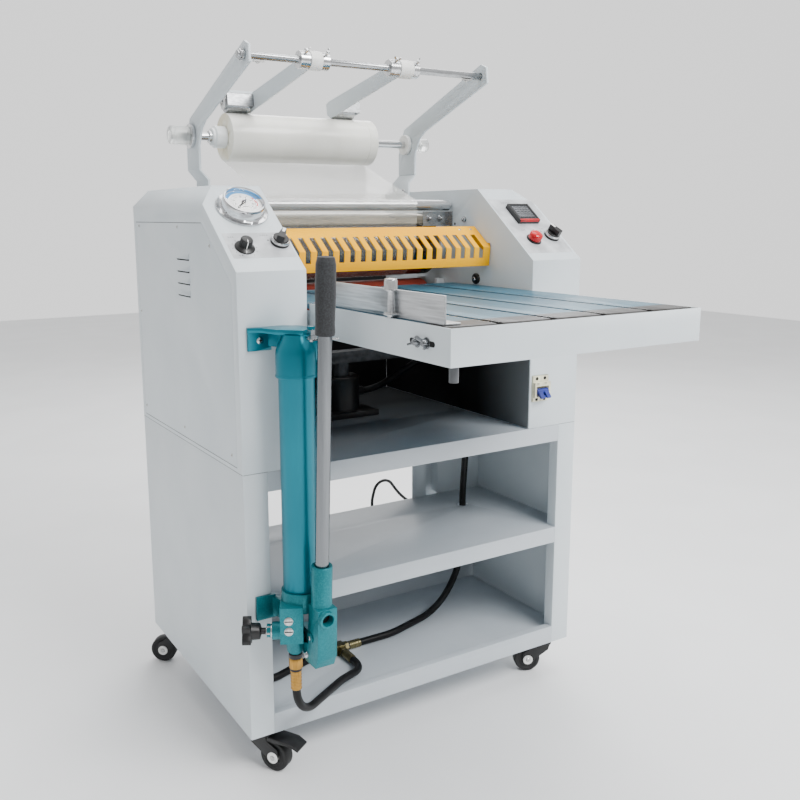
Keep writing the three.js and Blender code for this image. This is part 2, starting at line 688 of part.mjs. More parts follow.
// ---- controls on the slopes and the front ----
const onPanel = (profile, { x, s }, sides = 24) => turned("z", profile, x, s, sides);

add("gauge_case", onPanel([
  [0, -50], [7, -50], [7, -30], [30, -30], [30, GAP], [41, GAP], [41, 3], [33, 4],
  [33, 20], [29.5, 20], [29.5, 13], [0, 13],
], GAUGE, 32), CHROME, slope);

function gaugeNeedle() {
  const hub = bar("z", 3.2, 13.4, 16, 0, 0, 16);
  const hand = plate("z", [[-9, -1.3], [0, -1.6], [24, -0.4], [24, 0.4], [0, 1.6], [-9, 1.3]],
    13.8, 14.8);
  const needle = join(hub, hand);
  return needle.rotateZ(THREE.MathUtils.degToRad(225)).translate(GAUGE.x, GAUGE.s, 0);
}
add("gauge_needle", gaugeNeedle(), NEEDLE, slope);

add("speed_knob", onPanel([
  [0, -6], [3, -6], [3, GAP], [13, GAP], [13, 2.5], [11.5, 4], [8.7, 5], [8, 16], [7, 17.2], [0, 17.2],
], SPEED_KNOB, 28), BLACK_PLASTIC, slope);

function selector({ x, s }, turn) {
  const base = turned("z", [
    [0, -6], [3, -6], [3, GAP], [13.5, GAP], [13.5, 9], [11.5, 10], [0, 10],
  ], 0, 0, 28);
  const wing = box(-3.6, 3.6, -11, 11, 9, 21);
  return join(base, wing).rotateZ(turn).translate(x, s, 0);
}
add("left_selector", selector(LEFT_SELECTOR, THREE.MathUtils.degToRad(-35)), BLACK_PLASTIC, slope);
add("right_selector", selector(RIGHT_SELECTOR, THREE.MathUtils.degToRad(20)), BLACK_PLASTIC, slope);

add("red_button", onPanel([
  [0, -12], [9, -12], [9, 3], [12, 3], [12, 12], [10, 14.5], [6, 16], [0, 16.5],
], RED_BUTTON, 28), RED, slope);

function temperatureController() {
  const { x, s, size } = CONTROLLER;
  const half = size / 2;
  const bezel = box(x - half, x + half, s - half, s + half, GAP, 9);
  const window = box(x - half + 4, x + half - 4, s - half + 4, s + half - 4, 7.5, 12);
  const body = box(x - 22, x + 22, s - 22, s + 22, -60, 1);
  return join(cut(bezel, window), body);
}
add("temperature_controller", temperatureController(), BLACK_PLASTIC, slope);

const TOGGLE = { y: -6, z: BREAKER.z - 4, radius: 5 };

function breakerBody() {
  const { x, z, width, height } = BREAKER;
  const body = box(x - width / 2, x + width / 2, -3, 62, z - height / 2, z + height / 2);
  const nose = box(x - width / 2, x + width / 2, -9, -2, z - 15, z + 12);
  const slot = box(x - 14, x + 14, -12, 3, TOGGLE.z - 9, TOGGLE.z + 9);
  return cut(join(body, nose), slot);
}
add("breaker_body", breakerBody(), CREAM);

function breakerToggle() {
  const { y, z, radius } = TOGGLE;
  const drum = bar("x", radius, BREAKER.x - 13, BREAKER.x + 13, y, z, 20);
  const paddle = plate("x", [
    [y + 1, z - 4], [y - 11, z - 12], [y - 13, z - 9.5], [y - 3, z + 3],
  ], BREAKER.x - 12, BREAKER.x + 12);
  return join(drum, paddle);
}
add("breaker_toggle", breakerToggle(), BLUE);

// ---- hand pump ----
function pumpReservoir() {
  const { x, y, radius, bottom, top } = PUMP;
  const cylinder = bar("z", radius, bottom, top + 4, x, y, 32);
  const cap = turned("z", [
    [0, top], [29.5, top], [29.5, 684], [27, 693], [20, 698], [0, 700],
  ], x, y, 32);
  const port = bar("z", 9, 676, 706, -244, -62, 20);
  const filler = bar("z", 6, 704, 724, -244, -62, 6);
  const tab = box(-317, -281, -6, -GAP, 686, 720);
  const arm = plate("z", [
    [-318, -6], [-285, -GAP], [-258, -GAP], [-238, -18], [-238, -52], [-262, -72], [-290, -44],
    [-300, -14],
  ], 713, 720);
  const web = plate("z", [[-288, -1], [-282, -1], [-262, -40], [-270, -44]], 692, 715);
  const post = bar("z", 13, 690, 716, x, y, 20);
  return join(cylinder, cap, port, filler, tab, arm, web, post);
}
add("pump_reservoir", pumpReservoir(), TEAL);

// Valve block, its lugs, lower tab, release valve boss and outlet fitting.
function pumpBlock() {
  const collar = turned("z", [
    [0, 300], [29.5, 300], [29.5, PUMP.bottom - GAP], [0, PUMP.bottom - GAP],
  ], PUMP.x, PUMP.y, 32);
  const { x, y, turn } = VALVE_BLOCK;
  const local = (geometry) => geometry.rotateZ(turn).translate(x, y, 0);
  const block = local(box(-21, 13, -28, 26, 258, 314));
  const boss = local(turned("x", [
    [0, -42], [10, -42], [10, -34], [13.5, -34], [13.5, -15], [0, -15],
  ], 0, 267, 20));
  const neck = turned("z", [
    [0, 172], [8.2, 172], [8.2, 206], [10, 207], [10, 223], [9, 224], [9, 233], [13, 235],
    [15, 262], [0, 262],
  ], x, y, 20);
  const lug = plate("x", [[-44, 270], [-88, 270], [-90, 232], [-80, 225], [-68, 228], [-44, 252]],
    LEVER_PIVOT.x - 9.2, LEVER_PIVOT.x + 9.2);
  const tab = box(-316, -285, -6, -GAP, 271, 308);
  const web = plate("z", [[-292, -1], [-285, -1], [-270, -32], [-280, -38]], 275, 304);
  return join(collar, block, boss, neck, lug, tab, web);
}
add("pump_block", pumpBlock(), TEAL);

function releaseKnob() {
  const lobes = 5;
  const outline = [];
  const steps = 40;
  for (let i = 0; i < steps; i += 1) {
    const angle = (i / steps) * Math.PI * 2;
    const radius = 18 + 4.5 * Math.cos(lobes * angle);
    outline.push([radius * Math.cos(angle), radius * Math.sin(angle)]);
  }
  const star = plate("x", outline, -78, -65);
  const hub = turned("x", [[0, -66], [13, -66], [12, -52], [5, -50], [5, -42.5], [0, -42.5]], 0, 0, 24);
  const { x, y, turn } = VALVE_BLOCK;
  return join(star, hub).translate(0, 0, 267).rotateZ(turn).translate(x, y, 0);
}
add("release_knob", releaseKnob(), BLACK_PLASTIC);

const leverFrame = (geometry) =>
  geometry.rotateX(LEVER_LEAN).translate(LEVER_PIVOT.x, LEVER_PIVOT.y, LEVER_PIVOT.z);

function pumpLever() {
  const casting = plate("x", [
    [-34, 84], [-36, 8], [-28, -10], [4, -12], [12, -2], [12, 14], [-3, 20], [-4, 84],
  ], -15.5, 15.5);
  const channel = box(-9.8, 9.8, -26, 20, -20, 66);
  const pinEnds = [bar("x", 5, -20, -15, 0, 0, 16), bar("x", 5, 15, 20, 0, 0, 16)];
  const eye = bar("x", 7.5, -17.5, -15, -12, 33, 16);
  const socket = bar("z", 15.5, 78, 145, 0, LEVER_AXIS_Y, 28);
  const crossBoss = bar("y", 12.5, -40, -30, -3, 71, 24);
  const crossHole = bar("y", 8.8, -50, -29.5, -3, 71, 20);
  const steelTube = bar("z", 10, 143, 584, 0, LEVER_AXIS_Y, 24);
  const shell = cut(join(cut(casting, channel), socket, crossBoss), crossHole);
  return leverFrame(join(shell, ...pinEnds, eye, steelTube));
}
add("pump_lever", pumpLever(), TEAL);

add("lever_grip", leverFrame(turned("z", [
  [10.3, 484], [13.5, 484], [14, 488], [13.4, 500], [14.4, 540], [14, 580], [12, 590],
  [0, 591.5], [0, 584.5], [10.3, 584.5], [10.3, 484],
], 0, LEVER_AXIS_Y, 24)), FOAM);

// ---- hydraulic hoses ----
function hoseTee() {
  const { x, y, z } = TEE;
  const block = box(x - 11, x + 11, y - 10, y + 10, z - 7.8, z + 10);
  const legs = [
    bar("x", 7, x + 9, x + 45, y + 2, z, 16),
    bar("x", 7, x - 28, x - 9, y - 3, z, 16),
    bar("y", 7, y - 48, y - 8, x + 3, z, 16),
  ];
  return join(block, ...legs);
}
add("hose_tee", hoseTee(), BRASS);

const PUMP_HOSE = route([
  [-277, -55, 171.7], [-277, -55, 121, 53], [-158, 18.2, 116.5, 120], [-95, 56, 103.4, 54],
  [-95, 91.4, 102],
]);
const CYLINDER_HOSE = route([
  [-52.6, 142, 102], [20, 142, 102, 150], [223, 199, 104, 130], [224, 199.5, 330, 300],
  [234, 200, 470, 300], [234, 200, 527.5, 53], [286, 200, 559, 53], [286, 202, 641, 53],
  [190, 203, 641, 53], [79, 300, 540, 53], [50.4, 300, 540],
]);
const GAUGE_HOSE = route([
  [-126.6, 137, 102], [-150, 137, 102, 80], [-288, 90, 102, 53], [-305, 200, 148, 85],
  [-305, 200, 640, 300], [-271, 198.6, 777.1, 110], [-271, 142.9, 847.8],
]);
add("hose_pump_to_tee", tube(PUMP_HOSE, HOSE_DIAMETER, 10, 16), BLACK_RUBBER);
add("hose_tee_to_cylinder", tube(CYLINDER_HOSE, HOSE_DIAMETER, 10, 34), BLACK_RUBBER);
add("hose_tee_to_gauge", tube(GAUGE_HOSE, HOSE_DIAMETER, 10, 30), BLACK_RUBBER);

// ---- mains lead ----
const CORD_EXIT = { x: 309, y: DEPTH + 42, z: 205 };

add("cord_gland", turned("y", [
  [0, DEPTH + GAP], [11, DEPTH + GAP], [11, DEPTH + 9], [7.5, DEPTH + 11], [5, CORD_EXIT.y],
  [0, CORD_EXIT.y],
], CORD_EXIT.x, CORD_EXIT.z, 20), BLACK_PLASTIC);

const COIL_FLOOR = CORD_DIAMETER / 2 + 0.4;
const MAINS_CORD = route([
  [309, CORD_EXIT.y + GAP, 205], [309, 556, 205, 28.5], [245, 554, 290, 28.5], [222, 552, 215, 60],
  [222, 551, COIL_FLOOR, 30], [166, 548.9, COIL_FLOOR],
]);
add("mains_cord", tube(MAINS_CORD, CORD_DIAMETER, 8, 44), BLACK_RUBBER);

const coilInner = COIL.meanRadius - COIL.radial / 2;
const coilOuter = COIL.meanRadius + COIL.radial / 2;
add("cord_coil", ring("z", coilInner, coilOuter, GAP, COIL.height, COIL.x, COIL.y + 6, 32),
  BLACK_RUBBER);

function mainsPlug() {
  const [x, y] = [COIL.x, COIL.y + 6];
  const body = box(-14, 14, -20, 20, 0, 26);
  const boot = bar("y", 5, 18, 32, 0, 13, 12);
  const pins = [[-5, 0], [5, 0]].map(([px]) => box(px - 3, px + 3, -35, -19, 11, 15));
  return join(body, boot, ...pins).translate(x, y, COIL.height + GAP);
}
add("mains_plug", mainsPlug(), BLACK_PLASTIC);

// ---- casters ----
function casterFork() {
  const { trail, radius, width } = CASTER;
  const side = [
    [-18, 62], [15, 62], [17, 51], [trail + 8, 40], [trail + 10, 28], [trail + 8, 16],
    [trail - 4, 14], [trail - 12, 24], [-12, 44],
  ];
  const cheekIn = width / 2 + 0.6;
  const cheeks = [plate("y", side, cheekIn, cheekIn + 2.5), plate("y", side, -cheekIn - 2.5, -cheekIn)];
  const bridge = box(-18, 14, -cheekIn - 1, cheekIn + 1, radius * 2 + 4, 62);
  const head = turned("z", [[0, 60], [20, 60], [22, 64], [22, 68.7], [0, 68.7]], 0, 0, 24);
  return join(...cheeks, bridge, head);
}

function casterWheel() {
  const { radius, width, trail } = CASTER;
  const half = width / 2;
  return turned("y", [
    [0, -half], [radius - 2.5, -half], [radius, -half + 3], [radius, half - 3], [radius - 2.5, half],
    [0, half],
  ], trail, radius, 32);
}

function brakePedal() {
  const { trail } = CASTER;
  const outline = [
    [-6, 53], [-4, 60], [34, 58], [48, 50], [47, 47], [34, 52.5], [2, 52],
  ].map(([x, z]) => [trail + x, z]);
  return join(plate("y", outline, -15, 15), bar("y", 3.5, -15, 15, trail - 5.8, 56, 12));
}

for (const [corner, degrees] of Object.entries(CASTER_TURN)) {
  const swivel = new THREE.Group();
  const x = corner.endsWith("left") ? -CASTER.x : CASTER.x;
  const y = corner.startsWith("front") ? CASTER.front : CASTER.back;
  swivel.position.set(x, y, 0);
  swivel.rotation.set(0, 0, THREE.MathUtils.degToRad(degrees));
  machine.add(swivel);
  add(`caster_fork_${corner}`, casterFork(), BLACK_PLASTIC, swivel);
  add(`caster_wheel_${corner}`, casterWheel(), BLACK_RUBBER, swivel);
  if (corner === "front_left") add("brake_pedal", brakePedal(), BLACK_PLASTIC, swivel);
}

export default machine;
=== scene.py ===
"""A hydraulic roll laminator on a wheeled stand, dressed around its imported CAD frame.

Shapes are drawn in millimetres in the machine's own coordinates: X = 0 on the centre plane,
Y = 0 on the front of the housings (+Y to the back) and Z = 0 on the floor.
"""

import math

import bmesh
import bpy
from mathutils import Matrix, Vector


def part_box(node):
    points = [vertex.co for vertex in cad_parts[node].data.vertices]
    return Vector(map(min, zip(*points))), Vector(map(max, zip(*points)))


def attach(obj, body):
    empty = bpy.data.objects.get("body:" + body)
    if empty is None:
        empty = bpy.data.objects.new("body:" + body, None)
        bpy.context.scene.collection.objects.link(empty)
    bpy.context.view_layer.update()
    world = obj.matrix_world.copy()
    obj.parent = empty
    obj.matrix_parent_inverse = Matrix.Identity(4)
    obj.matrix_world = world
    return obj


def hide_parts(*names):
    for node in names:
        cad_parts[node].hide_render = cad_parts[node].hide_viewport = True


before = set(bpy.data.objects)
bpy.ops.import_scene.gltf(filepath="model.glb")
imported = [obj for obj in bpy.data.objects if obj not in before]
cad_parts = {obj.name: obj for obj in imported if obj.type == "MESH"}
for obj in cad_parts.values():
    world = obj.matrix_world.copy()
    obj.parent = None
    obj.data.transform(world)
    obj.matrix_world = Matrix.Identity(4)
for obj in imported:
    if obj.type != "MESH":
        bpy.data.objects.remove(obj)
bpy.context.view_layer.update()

MM = 0.001
left_low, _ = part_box("left_housing")
_, right_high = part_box("right_housing")
CENTRE_X = (left_low.x + right_high.x) / 2
FRONT_Y = left_low.y
SLOPE_ANGLE = math.atan2(125, 160)
HOME = Matrix.Translation((CENTRE_X, FRONT_Y, 0)) @ Matrix.Scale(MM, 4)
SLOPE = HOME @ Matrix.Translation((0, 0, 800)) @ Matrix.Rotation(SLOPE_ANGLE, 4, "X")
ALONG = {
    "x": Matrix(((0, 0, 1, 0), (1, 0, 0, 0), (0, 1, 0, 0), (0, 0, 0, 1))),
    "y": Matrix(((1, 0, 0, 0), (0, 0, 1, 0), (0, -1, 0, 0), (0, 0, 0, 1))),
    "z": Matrix.Identity(4),
}
for axis in ("x", "y", "z"):
    ALONG["-" + axis] = ALONG[axis] @ Matrix.Rotation(math.pi, 4, "X")


def at(x, y, z):
    """A point of the machine, in metres in the row frame."""
    return HOME @ Vector((x, y, z))


def spin(degrees, axis):
    return Matrix.Rotation(math.radians(degrees), 4, axis)


def link_object(name, data):
    made = bpy.data.objects.new(name, data)
    bpy.context.scene.collection.objects.link(made)
    return made


# ---- camera ----
EYE = (-816.3, -1183.6, 878.2)
HEADING, TILT_DOWN, ROLL = -31.25, 10.61, -0.28
camera_data = bpy.data.cameras.new("camera")
camera = link_object("camera", camera_data)
bpy.context.scene.camera = camera
camera_data.sensor_width = 36
camera_data.lens = 40.06
camera_data.shift_x = 0.029
camera_data.shift_y = -0.0226
camera_data.clip_start = 0.05
camera.matrix_world = (
    Matrix.Translation(at(*EYE)) @ spin(HEADING, "Z") @ spin(90 - TILT_DOWN, "X") @ spin(ROLL, "Z")
)


# ---- materials ----
def linear(color):
    """An sRGB colour of 0 to 255 as the shader's linear one."""
    out = []
    for c in color:
        c /= 255
        out.append(c / 12.92 if c <= 0.04045 else ((c + 0.055) / 1.055) ** 2.4)
    return (*out, 1)


class Look:
    """A procedural material, built node by node."""

    def __init__(self, name, color, rough=0.5, metal=0.0, **inputs):
        self.material = bpy.data.materials.new(name)
        self.material.use_nodes = True
        self.tree = self.material.node_tree
        self.shader = self.tree.nodes["Principled BSDF"]
        self.color = linear(color)
        self.shader.inputs["Base Color"].default_value = self.color
        self.shader.inputs["Roughness"].default_value = rough
        self.shader.inputs["Metallic"].default_value = metal
        for key, value in inputs.items():
            socket = key.replace("_", " ").title().replace("Ior", "IOR")
            self.shader.inputs[socket].default_value = value
        self.coords = self.tree.nodes.new("ShaderNodeTexCoord").outputs["Object"]
        self.height = None

    def node(self, kind, **settings):
        made = self.tree.nodes.new(kind)
        for key, value in settings.items():
            setattr(made, key, value)
        return made

    def link(self, a, b):
        self.tree.links.new(a, b)

    def noise(self, scale, detail=3.0, stretch=(1, 1, 1)):
        mapping = self.node("ShaderNodeMapping")
        mapping.inputs["Scale"].default_value = stretch
        self.link(self.coords, mapping.inputs["Vector"])
        made = self.node("ShaderNodeTexNoise")
        made.inputs["Scale"].default_value = scale
        made.inputs["Detail"].default_value = detail
        self.link(mapping.outputs[0], made.inputs["Vector"])
        return made.outputs["Fac"]

    def cells(self, scale):
        made = self.node("ShaderNodeTexVoronoi")
        made.inputs["Scale"].default_value = scale
        self.link(self.coords, made.inputs["Vector"])
        return made.outputs["Distance"]

    def reach(self, start, end):
        """Rises from 0 to 1 between two depths of the machine."""
        split = self.node("ShaderNodeSeparateXYZ")
        self.link(self.coords, split.inputs[0])
        ramp = self.node("ShaderNodeMapRange")
        ramp.inputs["From Min"].default_value = at(0, start, 0).y
        ramp.inputs["From Max"].default_value = at(0, end, 0).y
        self.link(split.outputs["Y"], ramp.inputs["Value"])
        return ramp.outputs["Result"]

    def vary(self, source, other, low=0.35, high=0.65):
        """The base colour drifts towards another one where the source is high."""
        ramp = self.node("ShaderNodeValToRGB")
        ramp.color_ramp.elements[0].position = low
        ramp.color_ramp.elements[0].color = self.color
        ramp.color_ramp.elements[1].position = high
        ramp.color_ramp.elements[1].color = linear(other)
        self.link(source, ramp.inputs["Fac"])
        self.link(ramp.outputs["Color"], self.shader.inputs["Base Color"])
        return self

    def polish(self, source, low, high):
        """The roughness follows the source between two values."""
        spread = self.node("ShaderNodeMapRange")
        spread.inputs["To Min"].default_value = low
        spread.inputs["To Max"].default_value = high
        self.link(source, spread.inputs["Value"])
        self.link(spread.outputs["Result"], self.shader.inputs["Roughness"])
        return self

    def bump(self, source, strength, depth):
        """Relief, with its depth in millimetres."""
        made = self.node("ShaderNodeBump")
        made.inputs["Strength"].default_value = strength
        made.inputs["Distance"].default_value = depth * MM
        self.link(source, made.inputs["Height"])
        if self.height:
            self.link(self.height, made.inputs["Normal"])
        self.height = made.outputs["Normal"]
        self.link(self.height, self.shader.inputs["Normal"])
        return self

    def powder(self):
        """The fine relief of powder coat, which ends the material."""
        return self.bump(self.noise(900, 2), 0.25, 0.05).material


def powder_coat(name, color, shade):
    look = Look(name, color, 0.42, coat_weight=0.12, coat_roughness=0.3)
    look.vary(look.noise(9, 4), shade, 0.3, 0.75).polish(look.noise(60, 2), 0.36, 0.5)
    return look.powder()


def brushed(name, color, rough, stretch):
    look = Look(name, color, rough, 1.0)
    grain = look.noise(350, 4, stretch)
    look.vary(grain, [c * 0.82 for c in color], 0.35, 0.75)
    return look.polish(grain, rough * 0.75, rough * 1.3).bump(grain, 0.2, 0.03).material


def moulded(name, color, rough=0.45, grain=1400, depth=0.03):
    look = Look(name, color, rough)
    look.vary(look.noise(30, 2), [min(255, c * 1.25 + 4) for c in color], 0.4, 0.8)
    look.bump(look.noise(grain, 2), 0.4, depth)
    return look.polish(look.noise(90, 2), rough * 0.85, rough * 1.15).material


def yellow_coat():
    look = Look("yellow_powder_coat", (255, 188, 0), 0.8, specular_ior_level=0.05)
    look.vary(look.noise(9, 4), (252, 172, 0), 0.3, 0.75).polish(look.noise(60, 2), 0.75, 0.85)
    return look.powder()


def inner_wall():
    """Wall paint with painted shade: lighter at the front edge and near black from 150 mm behind it,
    where the space under the table lies in shade.
    """
    look = Look("inner_wall", (118, 122, 124), 0.6)
    return look.vary(look.reach(0, 150), (20, 20, 21), 0.0, 1.0).powder()


def shelf_top_painted_shade():
    """Shelf paint with painted shade: it darkens from 12 mm to 330 mm behind the front edge, under the
    rollers, where the machine above shades the shelf.
    """
    look = Look("top_shelf_painted_shade", (188, 195, 201), 0.5)
    return look.vary(look.reach(12, 330), (52, 55, 58), 0.0, 1.0).powder()


def teal_paint():
    look = Look("teal_gloss", (6, 126, 144), 0.3, 0.55)
    look.vary(look.noise(6, 2), (4, 114, 132), 0.35, 0.7)
    return look.bump(look.noise(260, 2), 0.12, 0.06).material


def hammered():
    look = Look("teal_hammered", (10, 112, 122), 0.36, 0.45)
    flecks = look.noise(420, 3)
    look.vary(flecks, (24, 124, 132), 0.42, 0.64)
    return look.bump(look.noise(300, 2), 0.45, 0.22).bump(flecks, 0.25, 0.08).material


def foam():
    look = Look("foam_rubber", (32, 33, 35), 0.85, sheen_weight=0.15)
    look.vary(look.noise(500, 3), (46, 48, 51), 0.4, 0.6)
    return look.bump(look.cells(700), 0.8, 0.25).material


def hose_cover():
    look = Look("hose_cover", (9, 9, 10), 0.42, specular_ior_level=0.25)
    look.vary(look.noise(40, 2), (18, 18, 20), 0.4, 0.7)
    return look.bump(look.noise(600, 2), 0.5, 0.08).material


def deck_film():
    """Blue protective film whose colour turns dark brown-black at the front ends of the strips."""
    look = Look("deck_film", (50, 104, 126), 0.36, specular_ior_level=0.3)
    scuffs = look.noise(55, 5, (1, 0.08, 1))
    look.vary(look.noise(7, 3), (40, 90, 112), 0.35, 0.65).polish(scuffs, 0.28, 0.44)
    blue = look.shader.inputs["Base Color"].links[0].from_socket
    mix = look.node("ShaderNodeMixRGB")
    mix.inputs["Color2"].default_value = linear((30, 27, 25))
    look.link(look.reach(-290, -302), mix.inputs["Fac"])
    look.link(blue, mix.inputs["Color1"])
    look.link(mix.outputs["Color"], look.shader.inputs["Base Color"])
    return look.bump(scuffs, 0.12, 0.05).material


def film_look():
    look = Look("film", (243, 242, 234), 0.3, subsurface_weight=0.15, coat_weight=0.2,
                subsurface_radius=(0.003, 0.003, 0.0025))
    winding = look.noise(14, 3, (1, 0.2, 0.2))
    look.vary(winding, (231, 230, 222), 0.4, 0.7)
    return look.polish(winding, 0.22, 0.4).bump(look.noise(120, 2, (1, 0.1, 0.1)), 0.1, 0.06).material


def clear(name, tint, rough, alpha):
    look = Look(name, tint, rough, transmission_weight=0.85, ior=1.46, alpha=alpha)
    return look.bump(look.noise(80, 2), 0.05, 0.02).material


def rubber_roller():
    look = Look("silicone_rubber", (150, 60, 44), 0.6)
    look.vary(look.noise(20, 3), (132, 50, 38), 0.4, 0.7)
    return look.bump(look.noise(1200, 2), 0.3, 0.03).material


def smooth_steel():
    look = Look("smooth_steel", (128, 131, 134), 0.22, 1.0)
    drawn = look.noise(200, 2, (1, 1, 0.03))
    look.vary(drawn, (118, 121, 124), 0.3, 0.8)
    return look.polish(drawn, 0.2, 0.28).material


def cast():
    look = Look("casting", (84, 87, 90), 0.6, 0.5)
    look.vary(look.noise(90, 4), (64, 66, 70), 0.35, 0.7)
    return look.bump(look.noise(260, 4), 0.6, 0.2).material


LOOKS = {
    "paint": powder_coat("grey_powder_coat", (212, 220, 224), (203, 212, 217)),
    "shelf_paint": powder_coat("shelf_powder_coat", (190, 197, 203), (180, 188, 195)),
    "yellow": yellow_coat(),
    "teal": teal_paint(),
    "teal_cast": hammered(),
    "steel": brushed("turned_steel", (186, 188, 190), 0.26, (0.15, 1, 1)),
    "zinc": brushed("zinc_plate", (214, 214, 212), 0.3, (1, 1, 0.2)),
    "chrome": brushed("hard_chrome", (226, 227, 229), 0.08, (0.05, 1, 1)),
    "roller_chrome": brushed("polished_roller", (122, 115, 101), 0.1, (0.05, 1, 1)),
    "tube_steel": smooth_steel(),
    "brass": brushed("machined_brass", (190, 144, 72), 0.3, (1, 1, 0.15)),
    "aluminium": brushed("bare_aluminium", (208, 210, 212), 0.35, (1, 0.05, 1)),
    "cast": cast(),
    "black_plastic": moulded("black_plastic", (11, 11, 12), 0.4),
    # Painted shade: near black that stands in for the shade inside recesses, holes and slots.
    "painted_shade_gap": moulded("painted_shade_gap", (10, 10, 11), 0.9),
    "wheel": moulded("caster_tread", (16, 16, 17), 0.55, 500, 0.05),
    "hose_rubber": hose_cover(),
    "lead": moulded("lead_sheath", (12, 12, 13), 0.5, 900, 0.03),
    "foam": foam(),
    "roller_rubber": rubber_roller(),
    "deck": deck_film(),
    "film": film_look(),
    "film_clear": clear("clear_film", (244, 244, 238), 0.22, 0.4),
    "film_edge": moulded("film_edge", (232, 222, 196), 0.6, 900, 0.03),
    "chuck": moulded("milky_chuck", (226, 230, 230), 0.3, 700, 0.02),
    "inner_wall": inner_wall(),
    "shelf_top_painted_shade": shelf_top_painted_shade(),
    # Painted shade: near black paint for the hydraulic cylinder and the rear screen under the table,
    # which lie in shade.
    "painted_shade_panel": powder_coat("painted_shade_back", (22, 22, 23), (18, 18, 19)),
    "olive": brushed("plated_ferrule", (132, 124, 90), 0.32, (1, 1, 0.15)),
    "sleeve": moulded("smoked_sleeve", (66, 68, 71), 0.35, 500, 0.01),
    "seam": moulded("seam_shadow", (104, 108, 112), 0.7),
    "face": moulded("controller_face", (40, 42, 46), 0.4, 700, 0.01),
    "mark": moulded("print_grey", (150, 153, 158), 0.5, 500, 0.005),
    "shroud": brushed("bent_steel", (150, 152, 154), 0.34, (0.3, 1, 1)),
    "bright": brushed("bright_zinc", (224, 225, 226), 0.2, (1, 1, 0.2)),
    "red": moulded("red_cap", (186, 10, 24), 0.18, 300, 0.01),
    "cream": moulded("cream_plastic", (206, 200, 174), 0.42, 900, 0.02),
    "blue": moulded("blue_plastic", (30, 42, 118), 0.35, 900, 0.02),
    "white": moulded("white_plastic", (236, 236, 232), 0.4, 700, 0.02),
    "label": moulded("label_grey", (176, 179, 182), 0.4, 700, 0.01),
    "dial": moulded("dial_white", (246, 246, 244), 0.35, 500, 0.005),
    "print": moulded("print_black", (36, 36, 38), 0.5, 500, 0.005),
    "print_blue": moulded("print_blue", (48, 136, 196), 0.4, 500, 0.005),
    "print_red": moulded("print_red", (200, 38, 40), 0.4, 500, 0.005),
    "core": moulded("core_board", (196, 170, 132), 0.8, 500, 0.1),
    "glass": clear("gauge_glass", (250, 252, 252), 0.03, 0.05),
    "frosted": clear("frosted_knob", (232, 234, 232), 0.3, 0.85),
}


# ---- mesh building ----
def shade(mesh, look):
    mesh.shade_smooth()
    mesh.set_sharp_from_angle(angle=math.radians(35))
    mesh.materials.clear()
    mesh.materials.append(LOOKS[look])


def soften(piece, width, corner):
    """Rounds the edges that turn by more than a corner in degrees."""
    modifier = piece.modifiers.new("edges", "BEVEL")
    modifier.width = width * MM
    modifier.segments = 2
    modifier.limit_method = "ANGLE"
    modifier.angle_limit = math.radians(corner)
    modifier.harden_normals = True


def finish_piece(name, mesh, look, body, bevel=0.0, replaces=()):
    """Links a mesh drawn in the row frame as a shaded piece that rides on a body."""
    shade(mesh, look)
    piece = link_object(name, mesh)
    if bevel:
        soften(piece, bevel, 40)
    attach(piece, body)
    if replaces:
        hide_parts(*replaces)
    return piece


def mesh_from(name, build, place):
    bm = bmesh.new()
    build(bm)
    bmesh.ops.remove_doubles(bm, verts=bm.verts, dist=1e-5)
    bmesh.ops.recalc_face_normals(bm, faces=bm.faces)
    bm.transform(place)
    mesh = bpy.data.meshes.new(name)
    bm.to_mesh(mesh)
    bm.free()
    return mesh


def add_turned(bm, profile, place=Matrix.Identity(4), sides=64):
    """Spins a list of (radius, position) round the Z axis of place."""
    rings = []
    for r, z in profile:
        if r < 1e-6:
            rings.append([bm.verts.new(place @ Vector((0, 0, z)))])
            continue
        ring = []
        for i in range(sides):
            angle = 2 * math.pi * i / sides
            ring.append(bm.verts.new(place @ Vector((r * math.cos(angle), r * math.sin(angle), z))))
        rings.append(ring)
    for a, b in zip(rings, rings[1:]):
        for i in range(sides):
            j = (i + 1) % sides
            corners = [a[i % len(a)], a[j % len(a)], b[j % len(b)], b[i % len(b)]]
            unique = list(dict.fromkeys(corners))
            if len(unique) > 2:
                bm.faces.new(unique)


def add_prism(bm, outline, low, high, place=Matrix.Identity(4)):
    """Extrudes an outline along the Z axis of place."""
    bottom = [bm.verts.new(place @ Vector((x, y, low))) for x, y in outline]
    top = [bm.verts.new(place @ Vector((x, y, high))) for x, y in outline]
    bm.faces.new(list(reversed(bottom)))
    bm.faces.new(top)
    for i in range(len(outline)):
        j = (i + 1) % len(outline)
        bm.faces.new((bottom[i], bottom[j], top[j], top[i]))


def add_block(bm, x0, x1, y0, y1, z0, z1, place=Matrix.Identity(4)):
    add_prism(bm, [(x0, y0), (x1, y0), (x1, y1), (x0, y1)], z0, z1, place)


def place_on(axis, *where):
    """Z of the drawing along an axis of the machine, from a point in X, Y, Z order."""
    return Matrix.Translation(where) @ ALONG[axis]


def rod(radius, low, high):
    """The profiles of a rod and a pipe, and of each with chamfered ends."""
    return [(0, low), (radius, low), (radius, high), (0, high)]


def pipe(inner, outer, low, high):
    return [(inner, low), (outer, low), (outer, high), (inner, high), (inner, low)]


def plug_profile(radius, low, high, off, edge):
    rim = radius - off
    return [(0, low), (rim, low), (radius, low + edge), (radius, high - edge), (rim, high), (0, high)]


def collar(inner, outer, low, high, off, edge):
    return [(inner, low), *plug_profile(outer, low, high, off, edge)[1:-1], (inner, high), (inner, low)]


def mirrored(half, closed=False):
    """A profile that is the same on both sides of zero."""
    return [*half, *((r, -z) for r, z in reversed(half)), *(half[:1] if closed else ())]


